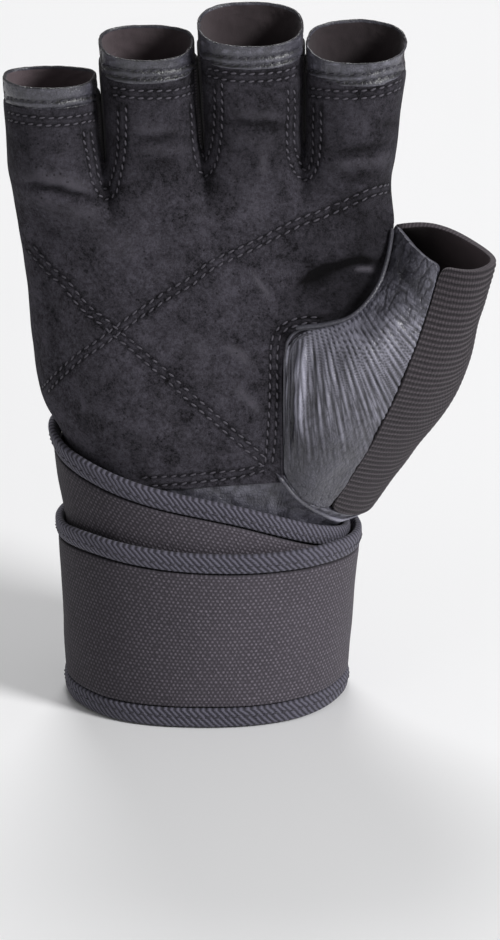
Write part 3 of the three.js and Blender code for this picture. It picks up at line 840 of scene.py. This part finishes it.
# Pixels between the two rows of a double seam
CROSS_SPACING = 7.2
THUMB_EDGE_INNER = [
    (265, 464), (267, 440), (269, 410), (270, 380), (271, 345), (275, 333), (282, 325), (292, 320),
    (306, 317), (320, 318),
]
THUMB_EDGE_OUTER = [
    (272, 464), (275, 440), (277, 400), (277, 365), (278, 345), (281, 335), (287, 329), (296, 326),
    (308, 323), (320, 324),
]
HEM_UPPER = [(140, 478), (160, 477), (180, 476), (200, 474), (220, 472), (240, 470), (262, 466)]
HEM_LOWER = [(150, 486), (170, 485), (200, 482), (220, 480), (240, 477), (262, 471)]
SLIT_ROWS = [
    [(84, 130), (84, 140), (86, 149), (88, 158), (90, 168), (91, 178), (94, 186), (98, 193), (103, 198),
     (108, 199), (113, 196), (117, 191), (119, 183), (121, 174), (123, 163), (125, 150), (126, 128),
     (126, 106)],
    [(91, 130), (93, 144), (96, 161), (99, 178), (103, 187), (108, 188), (111, 180), (115, 166),
     (117, 156), (118, 140), (118, 106)],
    [(191, 102), (192, 130), (194, 152), (197, 166), (201, 173), (206, 176), (212, 171), (217, 160),
     (220, 145), (222, 125), (222, 84)],
    [(197, 102), (199, 128), (201, 148), (205, 160), (210, 150), (214, 128), (215, 84)],
    [(288, 88), (288, 110), (287, 130), (287, 147), (288, 155), (290, 163), (295, 173), (300, 178),
     (305, 180), (310, 178), (315, 172), (319, 160), (320, 150), (321, 135), (321, 106)],
    [(294, 88), (295, 110), (294, 135), (295, 148), (298, 158), (302, 167), (307, 170), (311, 163),
     (313, 150), (313, 130), (314, 104)],
]
FINGER_ROWS = [
    [(8, 112), (20, 115), (45, 118), (70, 117), (94, 113)],
    [(112, 87), (130, 90), (150, 91), (175, 90), (193, 85)],
    [(207, 68), (230, 73), (255, 74), (280, 72), (297, 67)],
    [(311, 88), (335, 91), (360, 91), (385, 87), (401, 80)],
]
BAND_ROWS = [
    [(7, 97), (20, 100), (45, 102), (70, 100), (95, 95)],
    [(104, 66), (125, 70), (150, 71), (175, 69), (193, 63)],
    [(204, 53), (225, 57), (250, 58), (280, 55), (299, 49)],
    [(310, 70), (330, 74), (355, 75), (380, 71), (404, 63)],
]
# Pixels down to the second row of the same seam
ROW_DROP = 7.5


def with_second_row(lines):
    """Each row with the one sewn below it."""
    return lines + [[(x, y + ROW_DROP) for x, y in line] for line in lines]


# Pixel line, pitch in millimetres and slant in degrees of a stitch row
Row = namedtuple("Row", "line pitch slant")


def row_set(lines, pitch, slant):
    """Rows of one pitch and slant along smooth lines."""
    return [Row(curve_through(line, 6), pitch, slant) for line in lines]


def palm_rows():
    """All stitch rows of the palm; the two that cross it are double."""
    rows = []
    for middle in (CROSS_DOWN_LEFT, CROSS_DOWN_RIGHT):
        for side in (-0.5, 0.5):
            line = beside(curve_through(middle, 6), side * CROSS_SPACING)
            rows.append(Row(line, 2.75, 10.0))
    rows += row_set([THUMB_EDGE_INNER, THUMB_EDGE_OUTER], 2.6, 8.0)
    rows += row_set([HEM_UPPER, HEM_LOWER], 2.6, 12.0)
    return rows + row_set(SLIT_ROWS, 2.3, 18.0) + row_set(with_second_row(FINGER_ROWS), 2.4, 10.0)


PALM_ROWS = palm_rows()

Fold = namedtuple("Fold", "width height line")

# Half width and height in millimetres, and pixels; a crease has a height below 0
PALM_FOLDS = [
    Fold(1.5, -1.2, [(16, 183), (45, 189), (75, 196), (100, 200)]),
    Fold(2.4, 0.7, [(16, 172), (45, 179), (75, 186), (92, 188)]),
    Fold(2.6, 0.5, [(20, 196), (50, 204), (80, 210), (110, 212)]),
    Fold(1.3, -0.95, [(130, 137), (150, 140), (188, 138)]),
    Fold(2.0, 0.45, [(130, 128), (150, 131), (188, 129)]),
    Fold(2.2, 0.4, [(132, 148), (160, 150), (188, 147)]),
    Fold(1.8, -0.5, [(132, 160), (160, 164), (186, 160)]),
    Fold(1.3, -0.95, [(224, 122), (250, 125), (286, 128)]),
    Fold(1.9, 0.45, [(224, 113), (250, 116), (286, 119)]),
    Fold(2.2, 0.35, [(230, 137), (255, 141), (284, 143)]),
    Fold(1.4, -1.1, [(328, 155), (350, 154), (372, 151), (399, 142)]),
    Fold(2.2, 0.6, [(328, 166), (350, 164), (375, 161), (397, 154)]),
    Fold(1.7, -0.6, [(335, 177), (360, 177), (394, 181)]),
    Fold(1.6, -0.8, [(398, 123), (392, 126), (380, 127)]),
    Fold(4.0, 0.5, [(410, 80), (402, 84)]),
    Fold(2.2, -0.4, [(20, 215), (40, 226), (62, 242)]),
    Fold(2.4, -1.3, [(296, 296), (308, 284), (326, 273), (350, 267), (384, 264)]),
    Fold(1.5, 0.7, [(338, 274), (358, 270), (376, 271)]),
    Fold(1.2, 0.5, [(343, 300), (338, 310), (332, 320)]),
    Fold(0.9, 0.45, [(282, 470), (284, 420), (284, 370), (288, 345), (296, 334), (312, 328)]),
]

# Marks laid out as folds: rubbed marks and painted highlights above 0, painted shade in hollows below 0
PALM_SHADES = [
    Fold(0.9, 1.0, [(250, 272), (262, 287), (272, 302)]),
    Fold(1.2, 0.9, [(222, 343), (236, 352), (250, 366)]),
    Fold(1.2, 0.85, [(232, 386), (246, 398), (262, 413)]),
    Fold(1.2, 0.8, [(262, 150), (264, 162), (263, 176)]),
    Fold(2.0, 0.3, [(40, 175), (60, 183), (84, 190)]),
    Fold(5.0, 0.22, [(66, 215), (96, 232), (130, 250), (150, 262)]),
    Fold(4.0, 0.2, [(70, 300), (84, 330), (82, 350)]),
    Fold(4.5, 0.2, [(180, 330), (200, 350), (220, 380)]),
    Fold(5.0, 0.16, [(150, 390), (180, 430), (200, 455)]),
    Fold(3.6, 0.2, [(230, 168), (252, 190), (264, 215)]),
    Fold(4.5, -0.45, [(350, 205), (368, 230), (372, 252)]),
    Fold(1.0, -1.1, [(292, 292), (304, 281), (322, 270), (345, 263), (380, 260)]),
    Fold(0.9, 2.2, [(352, 267), (362, 268), (374, 270)]),
    Fold(4.2, -0.4, [(300, 306), (325, 298), (352, 290), (376, 277)]),
    Fold(0.7, -0.5, [(340, 292), (336, 302), (333, 312)]),
    Fold(1.3, -0.6, [(305, 318), (330, 316), (352, 306), (372, 288), (382, 270)]),
    Fold(2.0, -0.4, [(100, 196), (108, 206), (118, 212)]),
    Fold(2.0, -0.3, [(190, 180), (207, 186), (224, 184)]),
    Fold(2.0, -0.3, [(286, 182), (304, 190), (322, 186)]),
]


def groove_relief(px, py, rows):
    """Depth in millimetres of the shallow groove that each stitch row pulls into the leather."""
    height = np.zeros(len(px))
    for row in rows:
        gap = stroke_distance(px, py, row.line) / PIXELS_PER_MM
        height = np.minimum(height, -ROW_GROOVE * np.exp(-(gap / ROW_WIDTH) ** 2))
    return height


def fold_relief(px, py, folds):
    """Height in millimetres of the folds, each thinning out towards its ends."""
    height = np.zeros(len(px))
    flat = np.stack([px, py, np.zeros(len(px))], 1)
    px = px + 1.3 * wander(flat, 26, 41)
    py = py + 1.7 * wander(flat, 22, 42)
    for fold in folds:
        line = curve_through(fold.line)
        gap = stroke_distance(px, py, line) / PIXELS_PER_MM
        ends = [np.hypot(px - x, py - y) for x, y in (line[0], line[-1])]
        length = sum(math.dist(a, b) for a, b in zip(line, line[1:]))
        taper = smooth_step(np.minimum(*ends) / (0.4 * length) + 0.25)
        height += fold.height * np.exp(-(gap / (fold.width * (0.45 + 0.55 * taper))) ** 2) * taper
    return height


def palm_relief(points, out):
    """Height of the palm's stitch grooves and folds over each vertex that faces the camera."""
    px, py = to_pixels(points)
    facing = out @ VIEW_BACK
    grooves = groove_relief(px, py, PALM_ROWS) * smooth_step(facing * 4)
    return grooves + fold_relief(px, py, PALM_FOLDS) * smooth_step(facing * 2.2)


def surface_tree(mesh):
    """Search tree over a finished mesh."""
    mesh.calc_loop_triangles()
    triangles = [tuple(t.vertices) for t in mesh.loop_triangles]
    return BVHTree.FromPolygons([v.co for v in mesh.vertices], triangles)


def laid_on(trees, line):
    """Surface point in millimetres and direction where each pixel's line of sight first meets a piece."""
    hits = []
    for px, py in line:
        start, ray = pixel_ray(px, py)
        found = [f for f in (t.ray_cast(start, ray) for t in trees) if f[0] is not None]
        if found:
            near = min(found, key=lambda f: f[3])
            hits.append((np.array(near[0]) / MM, np.array(near[1])))
    return hits


def stitches(name, rows, carriers, thread):
    """Sunken thread beads along each pixel row, laid on the carrying pieces."""
    trees = [surface_tree(carrier.data) for carrier in carriers]
    beads = []
    for row in rows:
        beads += row_beads(laid_on(trees, row.line), row.pitch, row.slant)
    return bead_piece(name, beads, thread)


def bead_piece(name, places, thread):
    """Round thread beads, one at each place."""
    seed = bmesh.new()
    bmesh.ops.create_icosphere(seed, subdivisions=2, radius=1.0)
    bead = bpy.data.meshes.new("bead")
    seed.to_mesh(bead)
    seed.free()
    joined = bmesh.new()
    for place in places:
        copy = bead.copy()
        copy.transform(place)
        joined.from_mesh(copy)
        bpy.data.meshes.remove(copy)
    mesh = bpy.data.meshes.new(name)
    joined.to_mesh(mesh)
    joined.free()
    bpy.data.meshes.remove(bead)
    shade_smooth(mesh)
    return place_piece(name, mesh, [thread])


# Rolled edges: name, pixels, radius and sinking in millimetres
EDGE_ROLLS = [
    ("cuff_rolled_edge", [(276, 473), (282, 480), (291, 491), (300, 500), (310, 507), (321, 513),
                          (333, 518), (346, 520), (357, 517), (366, 511)], 0.6, 0.3),
    ("thumb_edge_ridge_inner", [(284, 474), (284, 440), (285, 400), (285, 360), (287, 345), (292, 336),
                                (300, 331), (312, 329), (324, 329)], 0.42, 0.22),
    ("thumb_edge_ridge_outer", [(289, 478), (289, 440), (289, 400), (290, 362), (292, 349), (297, 340),
                                (305, 335), (316, 333)], 0.36, 0.2),
]
# Pixel columns over which a rolled edge turns light with a painted highlight
ROLL_PAINTED_HIGHLIGHT = (318, 342)


def edge_roll(name, line, radius, sink, carriers):
    """Rolled leather edge: a thin tube laid along a pixel line on the carrying pieces, thin at its ends."""
    hits = laid_on([surface_tree(carrier.data) for carrier in carriers], curve_through(line, 10))
    along = np.linspace(0, 1, len(hits))
    full = 0.25 + 0.75 * smooth_step(np.minimum(along, 1 - along) / 0.16)
    points = np.array([spot + out * (radius * size - sink) for (spot, out), size in zip(hits, full)]) * MM
    for _ in range(6):
        points[1:-1] = (points[:-2] + 2 * points[1:-1] + points[2:]) / 4
    curve = bpy.data.curves.new(name, "CURVE")
    curve.dimensions = "3D"
    curve.bevel_depth = radius * MM
    curve.bevel_resolution = 3
    curve.use_fill_caps = True
    spline = curve.splines.new("POLY")
    spline.points.add(len(points) - 1)
    spline.points.foreach_set("co", np.c_[points, np.ones(len(points))].ravel())
    spline.points.foreach_set("radius", full)
    spline.use_smooth = True
    source = new_object(name, curve)
    mesh = bpy.data.meshes.new_from_object(source.evaluated_get(bpy.context.evaluated_depsgraph_get()))
    bpy.data.objects.remove(source)
    shade_smooth(mesh)
    px, _ = to_pixels(positions(mesh))
    # Painted light: a slight painted shade to the left, a painted highlight from the highlight columns on to
    # the right.
    mark_wear_and_painted_light(mesh, 0.6 * eased(px, *ROLL_PAINTED_HIGHLIGHT) - 0.05)
    return place_piece(name, mesh, [LEATHER])


def row_beads(hits, pitch, slant):
    """Places of thread beads at an even pitch along one row of surface points."""
    places = []
    walked = 0.0
    due = pitch / 2
    rng = random.Random(len(hits))
    size = np.array((pitch * STITCH_SHARE / 2, STITCH_RADIUS, STITCH_RADIUS * 0.8))
    for (a, normal_a), (b, normal_b) in zip(hits, hits[1:]):
        step = np.linalg.norm(b - a)
        if step > LONGEST_STEP:
            walked = 0.0
            due = pitch / 2
            continue
        while step > 0 and walked + step >= due:
            t = (due - walked) / step
            up = normal_a + (normal_b - normal_a) * t
            up /= np.linalg.norm(up)
            side = np.cross(up, b - a)
            side /= np.linalg.norm(side)
            ahead = np.cross(side, up)
            turn = math.radians(slant + rng.uniform(-5, 5))
            axis = ahead * math.cos(turn) + side * math.sin(turn)
            sides = np.stack([axis, np.cross(up, axis), up], axis=1) * size * MM
            centre = (a + (b - a) * t + up * STITCH_SINK) * MM
            places.append(Matrix.Translation(centre) @ Matrix(sides).to_4x4())
            due += pitch
        walked += step
    return places


# Palm, back and the strips between the fingers

def palm():
    """Suede palm with its finger fronts, folds and stitch grooves."""
    bm, _ = quad_sheet("palm_panel")
    carry_on(bm, border(bm, lambda i, j: j < 0.5), [(1.3, 0.45, 0), (2.6, 0.5, 0)])
    mesh = refined(bm, "palm_suede", 3, PANEL_WALL)
    points = positions(mesh)
    out = out_directions(mesh)
    height = palm_relief(points, out) + 0.35 * wander(points, 26, 3)
    move_points(mesh, points + out * height[:, None])
    px, py = to_pixels(points)
    # Painted light through the wear attribute: fold ridges lighter, creases, hollows and stitch grooves
    # darker as painted shade
    wear_and_painted_light = 0.75 * fold_relief(px, py, PALM_FOLDS) + 0.9 * fold_relief(px, py, PALM_SHADES)
    rows = groove_relief(px, py, PALM_ROWS) / ROW_GROOVE
    mark_wear_and_painted_light(mesh, np.where(out @ VIEW_BACK > 0, wear_and_painted_light + 0.95 * rows, 0) + 0.12 * wander(points, 9, 4))
    return place_piece("palm_suede", mesh, [SUEDE, LINING], "palm_panel")


def back():
    """Stretch back with its finger backs."""
    bm, _ = quad_sheet("back_panel")
    mesh = refined(bm, "back_jersey", 2, PANEL_WALL)
    points = positions(mesh)
    out = out_directions(mesh)
    move_points(mesh, points + out * (0.3 * wander(points, 30, 5))[:, None])
    return place_piece("back_jersey", mesh, [STRETCH, LINING], "back_panel")


def side_strips():
    """Knit strips between the fingers, puffed out until neighbours almost touch."""
    for pair in ("pinky_ring", "ring_middle", "middle_index"):
        node = "fourchette_" + pair
        bm, _ = quad_sheet(node, into_slit=True)
        carry_on(bm, [e for e in bm.edges if e.is_boundary], [(0.5, -0.25, 0), (1.0, -0.6, 0)])
        mark_out(bm)
        mesh = refined(bm, node + "_knit", 2, STRIP_WALL)
        points = positions(mesh)
        out = out_directions(mesh)
        low, high = (np.array(v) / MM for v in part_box(node))
        middle = (points[:, 1] - low[1]) / (high[1] - low[1]) * 2 - 1
        puff = STRIP_PUFF * np.clip(1 - middle ** 2, 0, 1) * smooth_step(np.abs(out[:, 0]))
        move_points(mesh, points + out * puff[:, None])
        place_piece(node + "_knit", mesh, [STRETCH, LINING], node)


BAND_SET = row_set(with_second_row(BAND_ROWS), BAND_PITCH, 12.0)
# Over the opening's edge and down inside the finger, where the lining starts
BAND_TURN = [
    (0.25, -0.12, 0), (0.42, -0.5, 0), (0.2, -0.95, 0),
    (-3.0, -1.3, 1), (-5.6, -1.85, 1), (-14.0, -2.0, 1),
]
# How far each band's leather is darkened
FINGER_SHADES = {"pinky": 0.16, "ring": 0.26, "middle": 0.06, "index": 0.04}


def finger_hems():
    """Turned-in bands over the finger openings: smooth leather in front, knit on the sides and back."""
    made = []
    for finger, shade in FINGER_SHADES.items():
        node = "finger_hem_" + finger
        bm, _ = quad_sheet(node)
        top = border(bm, lambda i, j: j > 1.5)
        foot = border(bm, lambda i, j: j < 0.5)
        carry_on(bm, top, BAND_TURN)
        carry_on(bm, foot, [(0.8, 0.1, 0), (1.0, -0.2, 0), (0.9, -0.7, 0)])
        mesh = refined(bm, node + "_band", 3)
        points = positions(mesh)
        out = out_directions(mesh)
        px, py = to_pixels(points)
        facing = smooth_step(out @ VIEW_BACK * 4)
        lines = creases(points, 4.5, 0.2, 32)
        grooves = groove_relief(px, py, BAND_SET)
        height = 0.15 * wander(points, 8, 11) + 0.1 - 0.14 * lines + 1.4 * grooves * facing
        move_points(mesh, points + out * height[:, None])
        soft = np.abs(wander(points * np.array((0.45, 0.45, 1.6)), 2.4, 31)) - 0.25
        # Painted shade: the wear below darkens the creases, the stitch grooves and the rim that faces
        # upwards.
        rim = eased(vertex_normals(mesh)[:, 2], 0.1, 0.5)
        wear_and_painted_light = 0.4 * (soft - 0.8 * lines) + 1.8 * grooves
        mark_wear_and_painted_light(mesh, wear_and_painted_light * facing - shade - 0.6 * rim)
        paint_turned_back(mesh, 2)
        made.append(place_piece(node + "_band", mesh, [LEATHER, LINING, STRETCH], node))
    return made


# Thumb

# Gathers fan out from a pixel, each set with so many ridges to a full turn
GATHER_CENTRE = (300, 215)
GATHER_COUNTS = (151, 211, 283)
# Pixels between ridges at which they begin to show, and at which they are full
GATHER_PITCH = (3.0, 5.2)
# Pixels from the centre at which they have died out, and within which they are full
GATHER_REACH = (275, 175)
THUMB_FOLDS = [
    Fold(1.6, 1.15, [(308, 336), (304, 350), (302, 390), (301, 445)]),
    Fold(0.8, -0.7, [(296, 336), (293, 350), (291, 390), (290, 450)]),
    Fold(0.7, -0.35, [(313, 340), (312, 380), (312, 430)]),
    Fold(1.3, 0.3, [(330, 345), (328, 390), (326, 430)]),
    Fold(1.2, -0.5, [(395, 262), (410, 285), (418, 300)]),
    Fold(1.0, -0.4, [(398, 240), (402, 255), (400, 270)]),
    Fold(2.2, 0.5, [(422, 258), (428, 275), (430, 292)]),
    Fold(1.2, 0.35, [(380, 318), (396, 325), (408, 336)]),
    Fold(1.5, 0.3, [(345, 330), (362, 345), (378, 368)]),
]


def thumb_leather():
    """Smooth leather thumb front, gathered along the piping."""
    bm, _ = quad_sheet("thumb_leather")
    mesh = refined(bm, "thumb_front", 4, PANEL_WALL)
    points = positions(mesh)
    out = out_directions(mesh)
    px, py = to_pixels(points)
    angle = np.arctan2(py - GATHER_CENTRE[1], px - GATHER_CENTRE[0])
    away = np.hypot(px - GATHER_CENTRE[0], py - GATHER_CENTRE[1])
    rng = np.random.default_rng(21)
    gathers = np.zeros(len(px))
    valleys = np.zeros(len(px))
    for count in GATHER_COUNTS:
        bend = 0.8 * np.sin(away / rng.uniform(14, 24) + angle * 7 + rng.uniform(0, math.tau))
        ridge = np.abs(np.sin(angle * count / 2 + bend + rng.uniform(0, math.tau)))
        open_enough = eased(away * math.tau / count, *GATHER_PITCH)
        gathers += (ridge - 0.64) * (GATHER_COUNTS[0] / count) ** 0.2 * open_enough
        valleys = np.maximum(valleys, np.exp(-(ridge / 0.3) ** 2) * rng.uniform(0.8, 1) * open_enough)
    gathers *= 0.8 + 0.35 * wander(points, 7, 22)
    upper = eased(py, 350, 290) * eased(px, 340, 390)
    at_opening = eased(px, 405, 417) * eased(py, 305, 285)
    near = eased(away, *GATHER_REACH) * (1 - 0.65 * upper) * (1 - 0.7 * at_opening)
    net = creases(points, 5.5, 0.2, 51) + 0.6 * creases(points * np.array((1, 1, 1.6)), 4.2, 0.2, 52)
    long = creases(points * np.array((1.5, 1, 0.5)), 3.8, 0.2, 53)
    crinkles = net * (0.12 + 0.7 * upper) + 0.45 * long * eased(py, 370, 420)
    folds = fold_relief(px, py, THUMB_FOLDS)
    height = (0.38 * gathers - 0.12 * valleys) * near + folds + 0.25 * wander(points, 12, 8) - 0.26 * crinkles
    move_points(mesh, points + out * height[:, None])
    # Painted light in the wear: gather ridges and fold crests lighter, valleys, creases and crinkles darker
    # as painted shade; the gathered part is made lighter and the leather darker towards the bottom.
    wear_and_painted_light = (0.4 * gathers - 0.8 * valleys) * near + 0.7 * folds + 0.15 * wander(points, 6, 23)
    wear_and_painted_light += 0.38 * near - 0.55 * crinkles + 0.08 - 0.16 * eased(py, 405, 450)
    mark_wear_and_painted_light(mesh, np.where(out @ VIEW_BACK > 0, wear_and_painted_light, 0))
    return place_piece("thumb_front", mesh, [LEATHER, LINING], "thumb_leather")


def thumb_knit():
    """Ribbed elastic over the thumb's outer side and back."""
    bm, _ = quad_sheet("thumb_knit")
    mesh = refined(bm, "thumb_ribbed", 4, PANEL_WALL)
    points = positions(mesh)
    out = out_directions(mesh)
    rib = np.sin(flat_places(mesh)[:, 1] * math.tau / KNIT_RIB)
    outside = smooth_step((vertex_normals(mesh) * out).sum(1) * 2)
    height = 0.2 * rib * outside + 0.4 * wander(points, 30, 9)
    move_points(mesh, points + out * height[:, None])
    return place_piece("thumb_ribbed", mesh, [KNIT, LINING], "thumb_knit")


PIPING_SHADE = -0.3


def piping():
    """Rolled leather edge of the thumb seam."""
    bm = solid_copy("thumb_piping")
    bmesh.ops.join_triangles(
        bm, faces=bm.faces, angle_face_threshold=math.radians(60), angle_shape_threshold=math.radians(50),
    )
    mesh = refined(bm, "thumb_rolled_edge", 2)
    mark_wear_and_painted_light(mesh, np.full(len(mesh.vertices), PIPING_SHADE))
    return place_piece("thumb_rolled_edge", mesh, [LEATHER], "thumb_piping")


def cuff():
    """Leather cuff band with a rolled top edge that laps over the thumb's lower edge."""
    bm, _ = quad_sheet("cuff_band")
    mesh = refined(bm, "cuff_leather", 3, PANEL_WALL)
    points = positions(mesh)
    out = out_directions(mesh)
    lines = creases(points * np.array((0.6, 0.6, 1.3)), 6.0, 0.2, 34)
    move_points(mesh, points + out * (0.2 * wander(points, 9, 13) - 0.25 * lines)[:, None])
    # Painted shade in the creases, through the wear attribute
    mark_wear_and_painted_light(mesh, 0.08 * wander(points, 5, 33) - 0.5 * lines + 0.08)
    return place_piece("cuff_leather", mesh, [LEATHER, LINING], "cuff_band")


# Wrist wrap

# Where the seam runs over a tape's outer face, as a share of its height
TAPE_SEAM = 0.42


def tape_seam(node, bm):
    """Points along the middle of a folded tape's outer face, from its grid."""
    columns = {}
    for vert in bm.verts:
        column, row = grid_place(bm, vert)
        columns.setdefault(round(column), {})[round(row)] = vert.co.copy()
    share = TAPE_SEAM if "top" in node else 1 - TAPE_SEAM
    line = [columns[column][0].lerp(columns[column][1], share) for column in sorted(columns)]
    return [a.lerp(b, t / 4) for a, b in zip(line, line[1:]) for t in range(4)]


def tape_stitches(node, seam, mesh):
    """Stitches that hold the folded tape."""
    tree = surface_tree(mesh)
    hits = [tree.find_nearest(spot) for spot in seam]
    hits = [(np.array(near[0]) / MM, np.array(near[1])) for near in hits]
    return bead_piece(node + "_stitches", row_beads(hits, TAPE_PITCH, 16.0), TAPE_THREAD)


def wrap():
    """Woven strap and the tapes bound over its edges."""
    for node, wall, material, slot in (
        ("wrap_strap", PANEL_WALL, WEBBING, "webbing"),
        ("wrap_binding_top", BINDING_WALL, TAPE, "twill_tape"),
        ("wrap_binding_bottom", BINDING_WALL, TAPE, "twill_tape"),
        ("hook_tab", PANEL_WALL, TAPE, "twill_tape"),
    ):
        bm, flat = quad_sheet(node)
        seam = tape_seam(node, bm) if "binding" in node else None
        mesh = refined(bm, node + "_cloth", 3, wall, 0.9 if node == "wrap_strap" else 0.25)
        points = positions(mesh)
        out = out_directions(mesh)
        move_points(mesh, points + out * (0.15 * wander(points, 18, 17))[:, None])
        piece = place_piece(node + "_cloth", mesh, [material, material], node)
        if seam:
            tape_stitches(node, seam, mesh)


palm_piece = palm()
back()
hem_pieces = finger_hems()
side_strips()
leather_piece = thumb_leather()
knit_piece = thumb_knit()
piping()
cuff_piece = cuff()
wrap()
stitches("palm_stitches", PALM_ROWS, [palm_piece], THREAD)
stitches("band_stitches", BAND_SET, hem_pieces, BAND_THREAD)
for name, line, radius, sink in EDGE_ROLLS:
    edge_roll(name, line, radius, sink, [palm_piece, leather_piece, knit_piece, cuff_piece])


# Stage

SKY_STRENGTH = 0.22
FLOOR_SIZE = 6.0


def floor():
    bm = bmesh.new()
    bmesh.ops.create_grid(bm, x_segments=1, y_segments=1, size=FLOOR_SIZE)
    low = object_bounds()[0][2]
    bmesh.ops.translate(bm, verts=bm.verts, vec=(0, 0, low - FLOOR_DROP * MM))
    mesh = bpy.data.meshes.new("floor")
    bm.to_mesh(mesh)
    bm.free()
    obj = new_object("floor", mesh, [floor_material()])
    obj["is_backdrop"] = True


def area_light(name, spot, size, power, target=(0.0, 0.0, 0.1)):
    data = bpy.data.lights.new(name, "AREA")
    data.shape = "DISK"
    data.size = size
    data.energy = power
    obj = new_object(name, data)
    obj.location = spot
    obj.rotation_euler = (Vector(target) - Vector(spot)).to_track_quat("-Z", "Y").to_euler()


def studio():
    world = bpy.data.worlds.new("studio")
    bpy.context.scene.world = world
    world.use_nodes = True
    background = world.node_tree.nodes["Background"]
    background.inputs["Color"].default_value = rgb("#ffffff")
    background.inputs["Strength"].default_value = SKY_STRENGTH
    area_light("key", (1.55, -1.1, 1.2), 0.6, 42)
    area_light("fill", (-1.2, -1.3, 0.8), 1.2, 1.5)
    area_light("rim", (-0.1, 1.2, 1.4), 0.8, 14)
    bpy.context.scene.view_settings.view_transform = "Standard"


def camera():
    data = bpy.data.cameras.new("photo_camera")
    data.sensor_width = 36.0
    data.lens = PIXELS_PER_MM * CAMERA_DISTANCE * data.sensor_width / PHOTO_HEIGHT
    data.clip_end = 20.0
    data.dof.use_dof = False
    obj = new_object("photo_camera", data)
    turn = Matrix(((1, 0, 0), VIEW_UP, VIEW_BACK)).transposed().to_4x4()
    obj.matrix_world = Matrix.Translation(Vector(EYE * MM)) @ turn
    bpy.context.scene.camera = obj


floor()
studio()
camera()
